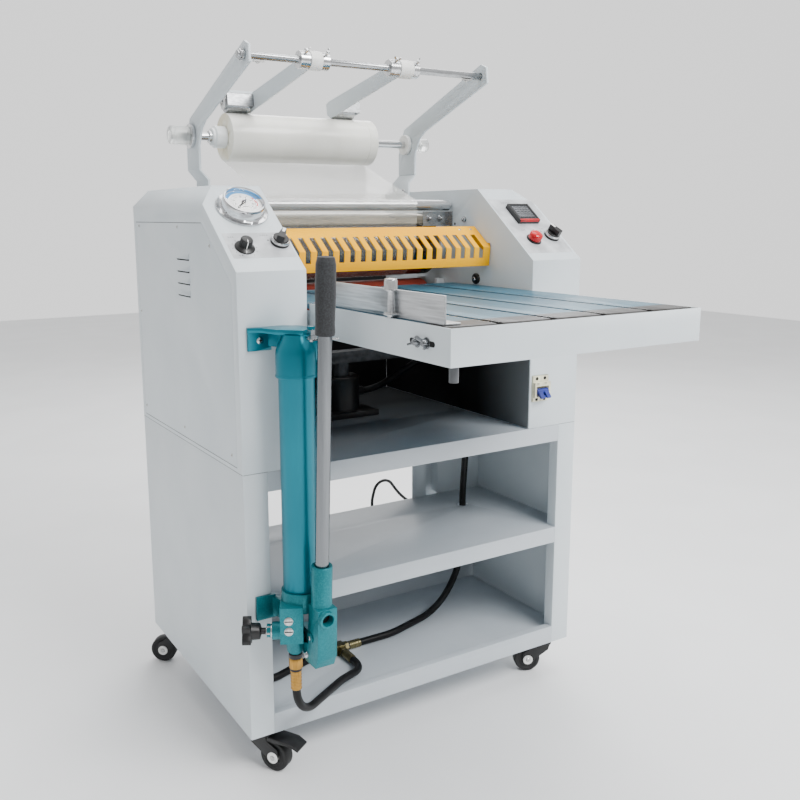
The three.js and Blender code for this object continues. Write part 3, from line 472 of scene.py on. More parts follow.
def turned(name, profile, axis, where, look, body="frame", sides=64, space=HOME, **more):
    place = space @ place_on(axis, *where)
    mesh = mesh_from(name, lambda bm: add_turned(bm, profile, sides=sides), place)
    return finish_piece(name, mesh, look, body, **more)


def several(name, build, look, body="frame", space=HOME, **more):
    return finish_piece(name, mesh_from(name, build, space), look, body, **more)


def slanted(name, build, look, body="frame", **more):
    """A piece drawn on the sloped panels: across, up the slope and out of it."""
    return several(name, build, look, body, SLOPE, **more)


def rounded(width, height, radius, steps=5):
    """A rectangle with round corners, centred on zero."""
    points = []
    for i, (sx, sy) in enumerate(((1, 1), (-1, 1), (-1, -1), (1, -1))):
        for k in range(steps + 1):
            angle = math.pi / 2 * (i + k / steps)
            x = sx * (width / 2 - radius) + radius * math.cos(angle)
            points.append((x, sy * (height / 2 - radius) + radius * math.sin(angle)))
    return points


def circle(radius, sides=24, centre=(0, 0), phase=0.0):
    turn = 2 * math.pi / sides
    return [
        (centre[0] + radius * math.cos(phase + i * turn), centre[1] + radius * math.sin(phase + i * turn))
        for i in range(sides)
    ]


def smooth_path(points, step=4.0):
    """A Catmull-Rom line through the points, with even steps, in machine millimetres."""
    p = [Vector(q) for q in points]
    p = [p[0] * 2 - p[1], *p, p[-1] * 2 - p[-2]]
    fine = []
    for a, b, c, d in zip(p, p[1:], p[2:], p[3:]):
        count = max(2, int((c - b).length / 1.5))
        for i in range(count):
            t = i / count
            fine.append(
                0.5 * (2 * b + (c - a) * t + (2 * a - 5 * b + 4 * c - d) * t * t
                       + (3 * b - a - 3 * c + d) * t * t * t)
            )
    fine.append(p[-2])
    out = [fine[0]]
    for q in fine[1:]:
        if (q - out[-1]).length >= step:
            out.append(q)
    if (out[-1] - fine[-1]).length > 1e-3:
        if (out[-1] - fine[-1]).length < step / 2 and len(out) > 1:
            out.pop()
        out.append(fine[-1])
    return out


def add_tube(bm, path, radius, sides=20):
    """A tube with closed ends along a path; radius is a number or a function of the distance."""
    tangent = (path[1] - path[0]).normalized()
    side = tangent.orthogonal().normalized()
    rings, run = [], 0.0
    for i, p in enumerate(path):
        ahead = path[min(i + 1, len(path) - 1)] - path[max(i - 1, 0)]
        tangent = ahead.normalized()
        side = (side - tangent * side.dot(tangent)).normalized()
        other = tangent.cross(side)
        if i:
            run += (p - path[i - 1]).length
        r = radius(run) if callable(radius) else radius
        ring = []
        for k in range(sides):
            angle = 2 * math.pi * k / sides
            ring.append(bm.verts.new(p + side * (r * math.cos(angle)) + other * (r * math.sin(angle))))
        rings.append(ring)
    for a, b in zip(rings, rings[1:]):
        for k in range(sides):
            j = (k + 1) % sides
            bm.faces.new((a[k], a[j], b[j], b[k]))
    bm.faces.new(list(reversed(rings[0])))
    bm.faces.new(rings[-1])


def tube(name, path, radius, look, body="frame", sides=20, **more):
    return several(name, lambda bm: add_tube(bm, path, radius, sides), look, body, **more)


def route(corners, step=4.0):
    """A centre line through corners (x, y, z, radius), with a true arc at each inner corner."""
    at_corner = [Vector(c[:3]) for c in corners]
    fine = [at_corner[0]]
    for i in range(1, len(corners) - 1):
        here, radius = at_corner[i], corners[i][3]
        back = (at_corner[i - 1] - here).normalized()
        ahead = (at_corner[i + 1] - here).normalized()
        turn = math.pi - back.angle(ahead)
        centre = here + (back + ahead).normalized() * (radius / math.cos(turn / 2))
        spoke = here + back * (radius * math.tan(turn / 2)) - centre
        count = max(3, int(turn * radius / 2))
        for k in range(count + 1):
            angle = turn * k / count
            fine.append(centre + spoke * math.cos(angle) - back * (radius * math.sin(angle)))
    fine.append(at_corner[-1])
    path = [fine[0]]
    for q in fine[1:]:
        gap = (q - path[-1]).length
        if gap < 0.05:
            continue
        parts = max(1, round(gap / step))
        start = path[-1]
        path += [start.lerp(q, (k + 1) / parts) for k in range(parts)]
    return path


# ---- hoses ----
PUMP_HOSE = [
    (-277, -55, 171.7), (-277, -55, 121, 53), (-158, 18.2, 116.5, 120), (-95, 56, 103.4, 54),
    (-95, 91.4, 102),
]
CYLINDER_HOSE = [
    (-52.6, 142, 102), (20, 142, 102, 150), (223, 199, 104, 130), (224, 199.5, 330, 300),
    (234, 200, 470, 300), (234, 200, 527.5, 53), (286, 200, 559, 53), (286, 202, 641, 53),
    (190, 203, 641, 53), (79, 300, 540, 53), (50.4, 300, 540),
]
GAUGE_HOSE = [
    (-126.6, 137, 102), (-150, 137, 102, 80), (-288, 90, 102, 53), (-305, 200, 148, 85),
    (-305, 200, 640, 300), (-271, 198.6, 777.1, 110), (-271, 142.9, 847.8),
]
HOSE_RADIUS = 6.5
for node, corners in (
    ("hose_pump_to_tee", PUMP_HOSE), ("hose_tee_to_cylinder", CYLINDER_HOSE),
    ("hose_tee_to_gauge", GAUGE_HOSE),
):
    path = route(corners)
    piece = tube(node + "_cover", path, HOSE_RADIUS, "hose_rubber", replaces=(node,))

# ---- mains lead, its coil and its plug ----
CORD_RADIUS = 3.5
COIL = {"x": 150, "y": 596, "radius": 39, "rows": 3, "columns": 2}
MAINS_EXIT = (309, 526.3, 205)
MAINS_CORD = [
    MAINS_EXIT, (309, 556, 205, 28.5), (245, 554, 290, 28.5), (222, 552, 215, 60),
    (222, 551, 3.9, 30), (166, 548.9, 3.9),
]


def coil_turns():
    """The lead's slack: rings that lie beside and on each other, one diameter apart."""
    inner, pitch = COIL["radius"] - CORD_RADIUS, 2 * CORD_RADIUS
    turns = [(inner + pitch * (1 - column), row) for row in range(COIL["rows"]) for column in (0, 1)]
    points, steps = [], 24
    for number, (radius, row) in enumerate(turns):
        if row % 2:
            radius = 2 * COIL["radius"] - radius
        after = turns[min(number + 1, len(turns) - 1)]
        next_radius = after[0] if after[1] % 2 == 0 else 2 * COIL["radius"] - after[0]
        for i in range(steps):
            t = i / steps
            ease = (1 - math.cos(math.pi * max(0.0, (t - 0.4) / 0.6))) / 2
            r = radius + (next_radius - radius) * ease
            z = CORD_RADIUS + 0.4 + pitch * (row + (after[1] - row) * ease)
            angle = -math.pi / 2 - 2 * math.pi * t
            points.append(Vector((COIL["x"] + r * math.cos(angle), COIL["y"] + r * math.sin(angle), z)))
    return points


lead_path = smooth_path(route(MAINS_CORD, 6.0)[:-1] + coil_turns(), 3.0)
turned(
    "mains_strain_relief",
    [(0, 0.3), (11, 0.3), (11.3, 1), (11.3, 4), (10.4, 4.6), (10.4, 8), (9.6, 9), (7.4, 10.5)]
    + [(r - shrink * k, z + 4.1 * k) for k in range(7) for r, shrink, z in (
        (7, 0.42, 12), (7, 0.42, 14.2), (5.6, 0.3, 14.6), (5.6, 0.3, 15.8))]
    + [(4.2, 41.4), (3.7, 42), (0, 42)],
    "y", (309, 484, 205), "black_plastic", sides=40, replaces=("cord_gland",),
)


def plug_body(bm):
    place = place_on("z", COIL["x"], COIL["y"], 21.4)
    for (w, l, low, high) in ((24, 36, 1, 25), (28, 40, 4, 22)):
        add_prism(bm, rounded(w, l, 6), low, high, place)
    for k in range(4):
        add_turned(bm, rod(5.4 - 0.4 * k, 0, 2),
                   place @ place_on("y", 0, 19.5 + 3 * k, 13), 20)
    for x in (-5, 5):
        add_prism(bm, rounded(5.6, 1.6, 0.5), 0, 15, place @ place_on("y", x, -35, 13))


plug = several("mains_plug_body", plug_body, "black_plastic", bevel=0.8, replaces=("mains_plug",))
mains = tube("mains_lead", lead_path, CORD_RADIUS, "lead", sides=14, replaces=("mains_cord", "cord_coil"))


# ---- CAD nodes that stay, with edges and looks ----
def dress(node, look, bevel=0.5):
    mesh_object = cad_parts[node]
    mesh = mesh_object.data
    shade(mesh, look)
    for polygon in mesh.polygons:
        polygon.material_index = 0
    mesh_object.modifiers.new("weld", "WELD").merge_threshold = 1e-5
    soften(mesh_object, bevel, 50)


KEPT = {
    "paint": [
        "stand_left_side", "stand_right_side", "left_housing", "right_housing", "left_side_cover",
        "right_side_cover", "feed_tray", "unwind_arm_left", "unwind_arm_right", "press_arm_left",
        "press_arm_right",
    ],
    "shelf_paint": ["stand_mid_shelf", "stand_bottom_shelf"],
    # painted shade: the top shelf darkens towards the back, under the rollers
    "shelf_top_painted_shade": ["stand_top_shelf"],
    "yellow": ["safety_guard"],
    "deck": ["feed_deck"],
    "aluminium": ["feed_guide"],
    "film_clear": ["film_web"],
    "teal": ["pump_reservoir"],
    "teal_cast": ["pump_lever", "pump_block"],
    # painted shade: the hydraulic cylinder under the table is near black for the shade it sits in
    "painted_shade_panel": ["hydraulic_cylinder"],
    "cast": ["drive_motor", "lift_carriage"],
    "steel": ["top_rod"],
    "cream": ["breaker_body"],
    "olive": ["hose_tee"],
    "black_plastic": ["temperature_controller", "gauge_needle", "release_knob", "brake_pedal"],
    "foam": ["lever_grip"],
}
for look, nodes in KEPT.items():
    for node in nodes:
        dress(node, look)

# ---- rollers ----
turned("heated_roller_shell", [
    (0, -214), (14, -214), (15, -213), (15, -190), (59.5, -190), (60, -189.5), (60, 189.5),
    (59.5, 190), (15, 190), (15, 229), (34, 229), (34, 236), (15, 236), (15, 240), (0, 240),
], "x", (0, 300, 823), "roller_chrome", "hot_roller", sides=128, replaces=("heated_roller",))
turned("pressure_roller_shell", mirrored([
    (0, -199.5), (11.4, -199.5), (12, -198.6), (12, -185), (41.5, -185), (42.5, -184),
]), "x", (0, 300, 712.5), "roller_rubber", "rubber_roller", sides=96, replaces=("pressure_roller",))
turned("idler_roller_shell", mirrored([(0, -217.5), (5, -217.5), (5, -212), (9.4, -212), (10, -211.4)]),
       "x", (0, 243, 896), "chrome", "idler", replaces=("idler_roller",))
for side, start in (("left", -168.4), ("right", 55)):
    turned(f"press_roller_{side}_shell", [
        (3.3, 0), (14.2, 0), (15, 0.8), (15, 45.2), (14.2, 46), (9, 46), (8, 45), (3.3, 45), (3.3, 0),
    ], "x", (start, 419, 1080), "steel", f"{side}_press_roller", sides=64,
        replaces=(f"press_roller_{side}",))

# ---- casters ----
CASTERS = {
    "front_left": (-297, 38, -56), "front_right": (297, 38, 155),
    "rear_left": (-297, 446, 145), "rear_right": (297, 446, 120),
}
AXLE = (28, 0, 25)
for corner, (x, y, degrees) in CASTERS.items():
    swivel = Matrix.Translation((x, y, 0)) @ spin(degrees, "Z")
    space = HOME @ swivel
    turned(f"caster_tread_{corner}", mirrored([
        (9, -8.5), (17, -8.5), (18.5, -9.6), (22.6, -10), (24.2, -9.2), (25, -7.4),
    ], closed=True), "y", AXLE, "wheel", f"wheel_{corner}", space=space,
        replaces=(f"caster_wheel_{corner}",))
    turned(f"caster_hub_{corner}", plug_profile(8.9, -9.6, 9.6, 3.9, 0.8), "y", AXLE, "white",
           f"wheel_{corner}", space=space, sides=40)
    turned(f"caster_axle_{corner}", mirrored([
        (0, -15.4), (2.6, -15.4), (4, -14.2), (4, -13.3), (2.5, -13.3),
    ]), "y", AXLE, "zinc", f"fork_{corner}", space=space, sides=32)
    for axis in ("y", "-y"):
        turned(f"caster_cap_{corner}_{'right' if axis == 'y' else 'left'}", [
            (4.3, 13.35), (9.4, 13.35), (9.4, 13.9), (8.6, 14.7), (5.2, 14.7), (4.3, 14.2), (4.3, 13.35),
        ], axis, AXLE, "white", f"fork_{corner}", space=space, sides=40)
    dress(f"caster_fork_{corner}", "black_plastic", 1.2)

# ---- small parts used in several places ----
def add_head(bm, place, radius, height):
    """A pan head with a soft edge."""
    add_turned(bm, [
        (0, 0), (radius, 0), (radius, height * 0.45), (radius * 0.86, height * 0.82),
        (radius * 0.5, height), (0, height),
    ], place, 28)


def screws(name, places, radius, height, look, body="frame", slotted=False, space=HOME):
    several(name, lambda bm: [add_head(bm, p, radius, height) for p in places], look, body, space=space)

    # Painted shade: a near black cross or slot in each head stands in for the shade in its recess.
    def recess(bm):
        long, thin = radius * (0.9 if slotted else 0.55), radius * 0.13
        for p in places:
            add_block(bm, -long, long, -thin, thin, height * 0.8, height * 1.03, p)
            if not slotted:
                add_block(bm, -thin, thin, -long, long, height * 0.8, height * 1.03, p)

    several(name + "_recess", recess, "painted_shade_gap", body, space=space)


def lobed(radius, depth, count, per=8):
    total = count * per
    points = []
    for i in range(total):
        angle = 2 * math.pi * i / total
        r = radius + depth * math.cos(count * angle)
        points.append((r * math.cos(angle), r * math.sin(angle)))
    return points


def add_wings(bm, outline, half, place):
    """Two flat wings that stand opposite each other on a screw."""
    for flip in (0, 180):
        add_prism(bm, outline, -half, half, place @ spin(flip, "Z") @ spin(90, "X"))


def add_sector(bm, inner, outer, start, end, low, high, place=Matrix.Identity(4)):
    """A flat arc between two radii, with its ends in degrees."""
    count = max(2, int(abs(end - start) / 4))
    angles = [math.radians(start + (end - start) * i / count) for i in range(count + 1)]
    outline = [(outer * math.cos(a), outer * math.sin(a)) for a in angles]
    outline += [(inner * math.cos(a), inner * math.sin(a)) for a in reversed(angles)]
    add_prism(bm, outline, low, high, place)


# ---- pressure gauge ----
GAUGE = (-271, 142, 0)
DIAL_FROM, DIAL_TO = 225, -45  # degrees
INK = (13.1, 13.3)
gauge_place = place_on("z", *GAUGE)
turned("gauge_bezel", [
    (0, -50), (6.6, -50), (7, -49.6), (7, -30), (29.4, -30), (30, -29.4), (30, 0.35), (40.2, 0.35),
    (41, 1.0), (41, 2.2), (40.2, 3), (35.2, 3.3), (33.6, 4.6), (33.1, 6.4), (33.1, 15.6),
    (32.6, 18.2), (31.4, 19.8), (30.2, 20), (29.5, 19.2), (29.5, 12.8), (0, 12.8),
], "z", GAUGE, "chrome", space=SLOPE, sides=96, replaces=("gauge_case",))
turned("gauge_dial", rod(29.3, 12.9, 13.15), "z", GAUGE, "dial", space=SLOPE, sides=72)
slanted("gauge_blue_band", lambda bm: add_sector(bm, 23.2, 28.8, 158, 18, 13.1, 13.35, gauge_place),
        "print_blue")
slanted("gauge_red_band", lambda bm: add_sector(bm, 20.4, 22.6, 34, -22, *INK, gauge_place),
        "print_red")


def gauge_ticks(bm):
    for i in range(41):
        angle = DIAL_FROM + (DIAL_TO - DIAL_FROM) * i / 40
        inner = 17.2 if i % 5 == 0 else 18.6
        thin = 0.9 if i % 5 == 0 else 0.5
        add_sector(bm, inner, 20.2, angle + thin, angle - thin, *INK, gauge_place)
    for i in range(9):
        turn = gauge_place @ spin(DIAL_FROM + (DIAL_TO - DIAL_FROM) * i / 8, "Z")
        add_block(bm, 13.4, 15.8, -1.3, -0.2, *INK, turn)
        add_block(bm, 13.4, 15.8, 0.3, 1.4, *INK, turn)
    add_block(bm, -5, 5, -9.6, -8.6, *INK, gauge_place)


slanted("gauge_scale", gauge_ticks, "print")
turned("gauge_glass", rod(29.5, 18, 18.6), "z", GAUGE, "glass", space=SLOPE, sides=72)
screws("gauge_flange_screws", [
    gauge_place @ Matrix.Translation((37.2 * math.cos(a), 37.2 * math.sin(a), 2.9))
    for a in (math.radians(80), math.radians(200), math.radians(320))
], 2.3, 1.3, "zinc", space=SLOPE)


# ---- panel stickers with plain marks ----
def sticker(name, x0, x1, s0, s1):
    place = place_on("z", (x0 + x1) / 2, (s0 + s1) / 2, 0)
    slanted(name, lambda bm: add_prism(bm, rounded(x1 - x0, s1 - s0, 2.5), 0.03, 0.22, place), "label")


sticker("left_panel_sticker", -323, -222, 29, 86)
sticker("right_panel_sticker", 222, 325, 19, 171)


PRINT_LOW, PRINT_HIGH = 0.2, 0.28


def panel_marks(bm):
    rows = (
        (-316, 76, 3), (-264, 79, 4), (-312, 34, 2), (253, 152, 5), (262, 152, 3), (246, 81, 3),
        (290, 84, 3), (248, 160, 6),
    )
    for x, s, count in rows:
        for k in range(count):
            left = x + 3.4 * k
            add_block(bm, left, left + 2.2, s, s + 0.5, PRINT_LOW, PRINT_HIGH)
            add_block(bm, left + (k % 2), left + 1 + (k % 2), s + 1.0, s + 2.0, PRINT_LOW, PRINT_HIGH)
    for x, s in ((-255, 68), (-227.6, 77), (289, 78), (317, 79)):
        add_turned(bm, rod(1.3, PRINT_LOW, PRINT_HIGH), place_on("z", x, s, 0), 16)


slanted("panel_marks", panel_marks, "print")


SPEED = place_on("z", -298, 52, 0)


def knob_scale(bm):
    for i in range(11):
        angle = 240 - 300 * i / 10
        add_sector(bm, 17.6, 19.6, angle + 1.4, angle - 1.4, PRINT_LOW, PRINT_HIGH, SPEED)


slanted("speed_scale", knob_scale, "print")

# ---- speed knob and its pointer line ----

def knob(bm):
    add_turned(bm, [
        (0, -6), (3, -6), (3, 0.4), (15, 0.4), (15.4, 1.0), (15.2, 2.2), (13.2, 3.6), (10.4, 4.8),
        (9.2, 6), (0, 6),
    ], SPEED, 56)
    add_prism(bm, lobed(9.0, 0.45, 20), 5, 15.8, SPEED)
    add_turned(bm, [(0, 15), (8.7, 15), (8.5, 16.6), (7.4, 17.3), (0, 17.3)], SPEED, 56)


slanted("speed_knob_body", knob, "black_plastic", "speed", bevel=0.25, replaces=("speed_knob",))


def pointer(bm):
    turn = SPEED @ spin(-100, "Z")
    add_block(bm, 2.5, 8.6, -0.5, 0.5, 17.1, 17.5, turn)
    add_block(bm, 9.1, 9.75, -0.5, 0.5, 5.5, 16.2, turn)
    add_block(bm, 9.6, 14.9, -0.5, 0.5, 2.4, 3.9, turn @ spin(14, "Y")
              @ Matrix.Translation((-0.9, 0, 3.1)))


slanted("speed_knob_line", pointer, "white", "speed")


# ---- selector switches ----
def selector(side, x, s, degrees):
    body = f"selector_{side}"
    place = place_on("z", x, s, 0)
    wing = place @ spin(degrees, "Z")

    def black(bm):
        add_turned(bm, [(0, -6), (3, -6), (3, 0.4), (14.2, 0.4), (14.5, 0.8), (14.5, 3.6), (14, 4.2),
                        (0, 4.2)], place, 56)
        add_turned(bm, [(0, 7.4), (12.4, 7.4), (12.4, 9.4), (11.6, 10.4), (0, 10.6)], place, 56)
        outline = [(-5.6, -11.8), (5.6, -11.8), (6, -6), (4.6, 4), (3, 12), (-3, 12), (-4.6, 4), (-6, -6)]
        add_prism(bm, outline, 9.4, 20, wing)

    slanted(f"{side}_selector_handle", black, "black_plastic", body, bevel=0.7,
            replaces=(f"{side}_selector",))
    slanted(f"{side}_selector_ring", lambda bm: add_turned(bm, [
        (11, 4.3), (14.1, 4.3), (14.3, 4.9), (13.9, 7.0), (13, 8.2), (12.5, 8.3), (11, 8.3), (11, 4.3),
    ], place, 72), "bright", body)
    slanted(f"{side}_selector_line", lambda bm: (
        add_prism(bm, [(-1.8, 2.4), (1.8, 2.4), (2.6, 11.6), (-2.6, 11.6)], 19.8, 20.3, wing),
        add_block(bm, -2.6, 2.6, 11.0, 12.3, 11, 20.3, wing),
    ),
            "white", body)


selector("left", -238, 62, -35)
selector("right", 304, 63, 20)

# ---- red button ----
BUTTON = (257, 55, 0)
turned("button_cap", [
    (0, -12), (9, -12), (9, 3.3), (11.4, 3.4), (12, 4), (12, 11.4), (11.2, 13.4), (8.6, 15.2),
    (4.4, 16.3), (0, 16.5),
], "z", BUTTON, "red", "button", space=SLOPE, replaces=("red_button",))
turned("button_bezel", [
    (12.4, 0.3), (14, 0.3), (14.2, 0.8), (13.8, 2.2), (13.2, 2.8), (12.4, 2.8), (12.4, 0.3),
], "z", BUTTON, "black_plastic", space=SLOPE)


# ---- temperature controller's face ----
def controller_face(bm):
    add_prism(bm, rounded(39.4, 39.4, 1), 7.6, 8.1, place_on("z", 274, 123.5, 0))


def controller_marks(bm):
    for row in range(6):
        for k in range(9 if row % 3 else 4):
            wide = 2.4 if row % 3 else 6.2
            gap = 3.8 if row % 3 else 8.6
            left, low = 257.5 + gap * k, 137.5 - 5.2 * row
            add_block(bm, left, left + wide, low, low + 0.55, 8.05, 8.25)
            add_block(bm, left, left + 0.6, low + 0.8, low + (2.4 if row % 3 else 3.4), 8.05, 8.25)
            add_block(bm, left + wide - 0.6, left + wide, low + 0.8, low + 2.0, 8.05, 8.25)


def controller_keys(bm):
    for k in range(4):
        add_prism(bm, rounded(6.4, 3.2, 1.2), 8.0, 8.7, place_on("z", 261 + 8.7 * k, 108.1, 0))


slanted("controller_face", controller_face, "face")
slanted("controller_marks", controller_marks, "mark")
slanted("controller_keys", controller_keys, "black_plastic", bevel=0.3)
slanted("controller_red_edge", lambda bm: (
    add_block(bm, 251.5, 296.5, 100.1, 102.7, 8.9, 9.25), add_block(bm, 252, 296, 99.2, 99.7, 5, 8.6),
), "red")


# ---- breaker ----
def toggle_tabs(bm):
    add_turned(bm, plug_profile(5, -13, 13, 0.4, 0.4),
               place_on("x", 242, -6, 569), 40)
    tab = [(-5, 565), (-17, 557), (-19, 559.5), (-9, 572)]
    bridge = [(-12, 560.5), (-15.6, 558), (-16.4, 559.6), (-13, 562.4)]
    for outline, x0, x1 in ((tab, 230.4, 239.4), (tab, 244.6, 253.6), (bridge, 239, 245)):
        add_prism(bm, outline, x0, x1, ALONG["x"])


several("breaker_toggle_tabs", toggle_tabs, "blue", "toggle", bevel=0.5, replaces=("breaker_toggle",))
several("breaker_parting", lambda bm: [
    add_block(bm, 241.8, 242.2, y - 0.12, y + 0.1, z0, z1)
    for y, z0, z1 in ((-9, 579, 585), (-3, 550.4, 557.8), (-3, 585.2, 595.6))
], "seam")
# Painted shade: near black discs stand in for the shade inside the terminal screw openings.
several("breaker_terminals", lambda bm: [
    add_turned(bm, rod(3.1, 0, 0.15), place_on("-y", x, -3, z), 24)
    for x in (233, 251) for z in (591.4, 554)
], "painted_shade_gap")
several("breaker_print", lambda bm: [
    add_block(bm, x, x + 5.4, -9.1, -8.95, z, z + 0.7) for x in (228, 245) for z in (583.6, 581.4)
], "print")

# ---- cover screws, louvre slots with painted shade under their hoods, and sheet-metal seams ----
SIDES = (("left", -1, "-x", "x"), ("right", 1, "x", "-x"))  # name, sign, outward and inward axis
COVER_X = 330
COVER_SCREWS = ((451, 861), (242, 861), (99, 834), (463, 705), (461, 525), (248, 525), (39, 524))
for side, sign, axis, _ in SIDES:
    screws(f"{side}_cover_screws", [place_on(axis, sign * COVER_X, y, z) for y, z in COVER_SCREWS],
           2.6, 1.1, "zinc")

    # Painted shade: near black strips under each louvre hood stand in for the shade of the slot beneath
    # it.
    def slots(bm):
        for i in range(4):
            z = 752 + 19.5 * i
            x0, x1 = sorted((sign * 329.9, sign * 330.4))
            add_block(bm, x0, x1, 192, 248, z - 2.6, z - 0.1)
            x0, x1 = sorted((sign * 330.2, sign * 332.6))
            add_block(bm, x0, x1, 192.5, 247.5, z - 0.25, z - 0.05)

    several(f"{side}_louvre_shade_lines", slots, "painted_shade_gap")

    def seams(bm):
        x = sign * 329.75
        add_tube(bm, [Vector((x, 470, 868)), Vector((x, 131, 868))], 0.5, 8)
        add_tube(bm, [Vector((x, 470, 508)), Vector((x, 20, 508))], 0.4, 8)
        add_tube(bm, [Vector((x, 1, 501.15)), Vector((x, 483, 501.15))], 0.45, 8)
        add_tube(bm, [Vector((sign * 329, 0.25, 501.15)), Vector((sign * 290, 0.25, 501.15))], 0.4, 8)

    several(f"{side}_seams", seams, "seam")

    def folded_edges(bm):
        corners = [Vector((sign * 329.9, y, z)) for y, z in ((20, 508), (20, 781.3), (131, 868))]
        add_tube(bm, corners[:2], 0.5, 8)
        add_tube(bm, corners[1:], 0.5, 8)

    several(f"{side}_cover_folds", folded_edges, "paint")

# ---- painted shade: dark sheets laid on the rear screen and inner walls of the space under the rollers, which lies in shade ----
several("rear_screen_painted_shade", lambda bm: add_block(bm, -218, 218, 479.7, 480.1, 502.4, 751.4), "painted_shade_panel")
several("inner_wall_shade_liners", lambda bm: [
    add_block(bm, *sorted((sign * 218.3, sign * 218.8)), 2, 479, 502.4, 700) for sign in (-1, 1)
], "inner_wall")

# ---- table: wing nuts, clamp, strip edges ----
TABLE_HALF = 215
DECK_HALF = TABLE_HALF - 2.6
GROOVE = 10
STRIP = (2 * DECK_HALF - 4 * GROOVE) / 5
for side, sign, axis, _ in SIDES:

    # Painted shade: a near black patch stands in for the shade inside the wing nuts' slot.
    def slot(bm):
        add_prism(bm, rounded(54, 7, 3.4), 0.02, 0.3, place_on(axis, sign * TABLE_HALF, -299, 726.5))

    several(f"{side}_wing_nut_slot", slot, "painted_shade_gap")

    def wing_nuts(bm):
        for y, z, lean in ((-289, 726.4, 25), (-309, 726.8, -35)):
            place = (place_on(axis, sign * TABLE_HALF, y, z)
                     @ spin(lean, "Z") @ Matrix.Scale(0.9, 4))
            add_turned(bm, rod(8.2, 0.2, 1.4), place, 36)
            add_turned(bm, [(0, 1.4), (5.6, 1.4), (5.2, 4), (4.2, 7.4), (3.2, 8.6), (0, 8.6)], place, 36)
            add_wings(bm, [(3, 2.6), (6, 2.2), (10.4, 6.4), (11.4, 10.6), (9.6, 11.8), (7.2, 10),
                           (3.4, 7.4)], 1.3, place)

    several(f"{side}_wing_nuts", wing_nuts, "tube_steel", bevel=0.4)


def strip_edges(bm):
    for i in range(5):
        x = -DECK_HALF + i * (STRIP + GROOVE)
        for edge in (x, x + STRIP - 1.4):
            add_block(bm, edge, edge + 1.4, -334, 224.6, 748.9, 749.12)


several("deck_strip_edges", strip_edges, "bright")
several("deck_groove_shadow", lambda bm: [
    add_block(bm, x + 0.3, x + 3, -350, 224.6, 742.5, 742.7)
    for x in (-DECK_HALF + STRIP + i * (STRIP + GROOVE) for i in range(4))
], "painted_shade_gap")
turned("guide_clamp_knob", [
    (0, 783.6), (7.6, 783.6), (8.2, 784.4), (8.2, 797.6), (7.4, 799), (3, 799.4), (0, 799.4),
], "z", (-212, -223, 0), "bright", "guide")
several("guide_clamp_grip", lambda bm: add_prism(bm, lobed(8.35, 0.25, 30, 4), 786, 796.6,
        place_on("z", -212, -223, 0)), "zinc", "guide")
turned("guide_clamp_washer", pipe(4.4, 9, 752, 753.2), "z",
       (-212, -223, 3.1), "zinc", "guide")

# ---- inner walls: guard pivots, sensor bracket, plugs ----
WALL_X = 219
for side, sign, outward, axis in SIDES:
    place = place_on(axis, sign * (WALL_X - 0.1), 198, 870)
    several(f"guard_pivot_{side}", lambda bm: (
        add_turned(bm, [(0, -4), (2.6, -4), (2.6, 0.2), (6, 0.2), (6, 1.2), (0, 1.2)], place, 32),
        add_prism(bm, circle(5, 6), 1.2, 5, place),
    ), "bright", bevel=0.3)
    # Painted shade: near black discs stand in for the shade inside the open holes of the inner walls.
    screws(f"inner_wall_holes_{side}", [
        place_on(axis, sign * WALL_X, 229, 861), place_on(axis, sign * WALL_X, 120, 690),
        place_on(axis, sign * WALL_X, 60, 640),
    ], 2.6, 0.35, "painted_shade_gap")
    turned(f"wall_boss_{side}", [
        (0, -6), (7, -6), (9, -5), (10, -3.4), (10, 0), (0, 0),
    ], outward, (sign * WALL_X, 158, 760), "black_plastic")
    screws(f"wall_boss_screw_{side}", [place_on(axis, sign * 213.1, 158, 760)], 3.6, 2.2, "bright")


def guard_face_screws(bm):
    lean = spin(37, "X")
    for x in (-203, -178, 178, 203):
        add_head(bm, Matrix.Translation((x, 158.6, 850.6)) @ lean, 2.8, 1.6)


several("guard_end_screws", guard_face_screws, "bright", "guard")


def bracket(bm):
    add_block(bm, 158, 218.8, 248.6, 250.4, 857, 885)
    add_block(bm, 217.2, 218.8, 236, 250, 857, 885)
    for x in (173, 199):
        place = place_on("-y", x, 248.6, 871)
        add_turned(bm, rod(7, 0, 1), place, 32)
        add_prism(bm, circle(5.4, 6), 1, 5, place)
        add_turned(bm, rod(2.6, 5, 7.4), place, 20)


several("sensor_bracket", bracket, "steel", bevel=0.3)

# ---- top rod: thumb screws, collars and stops ----
ROD_Y, ROD_Z = 172, 1126


def thumb_screws(bm):
    for x, twist in ((-131, 20), (-93.3, 70), (40.7, -15), (83.9, 50)):
        place = (Matrix.Translation((x, ROD_Y, ROD_Z)) @ spin(50, "X")
                 @ spin(twist, "Z"))
        add_turned(bm, rod(2.1, 13, 19.5), place, 20)
        add_turned(bm, [(0, 18.5), (3.4, 18.5), (3.4, 21.2), (2.4, 22.2), (0, 22.2)], place, 24)
        add_wings(bm, [(1.5, 18.6), (4.4, 19.6), (6.8, 22.6), (6, 25), (4, 24.6), (1.6, 22)], 0.9, place)


several("thumb_screws", thumb_screws, "bright", bevel=0.3)


def collar_trim(bm):
    for x0, x1 in ((-140, -122), (-100.2, -86.4), (31, 50.4), (77.4, 90.4)):
        mid = (x0 + x1) / 2
        add_turned(bm, [(6, x0 - 0.05), (13.6, x0 - 0.05), (14.1, x0 + 0.6), (14.1, x1 - 0.6),
                        (13.6, x1 + 0.05), (6, x1 + 0.05), (6, x0 - 0.05)],
                   place_on("x", 0, ROD_Y, ROD_Z), 56)
        add_turned(bm, rod(2.6, 13.6, 14.4),
                   Matrix.Translation((mid, ROD_Y, ROD_Z)) @ spin(125, "X"), 16)


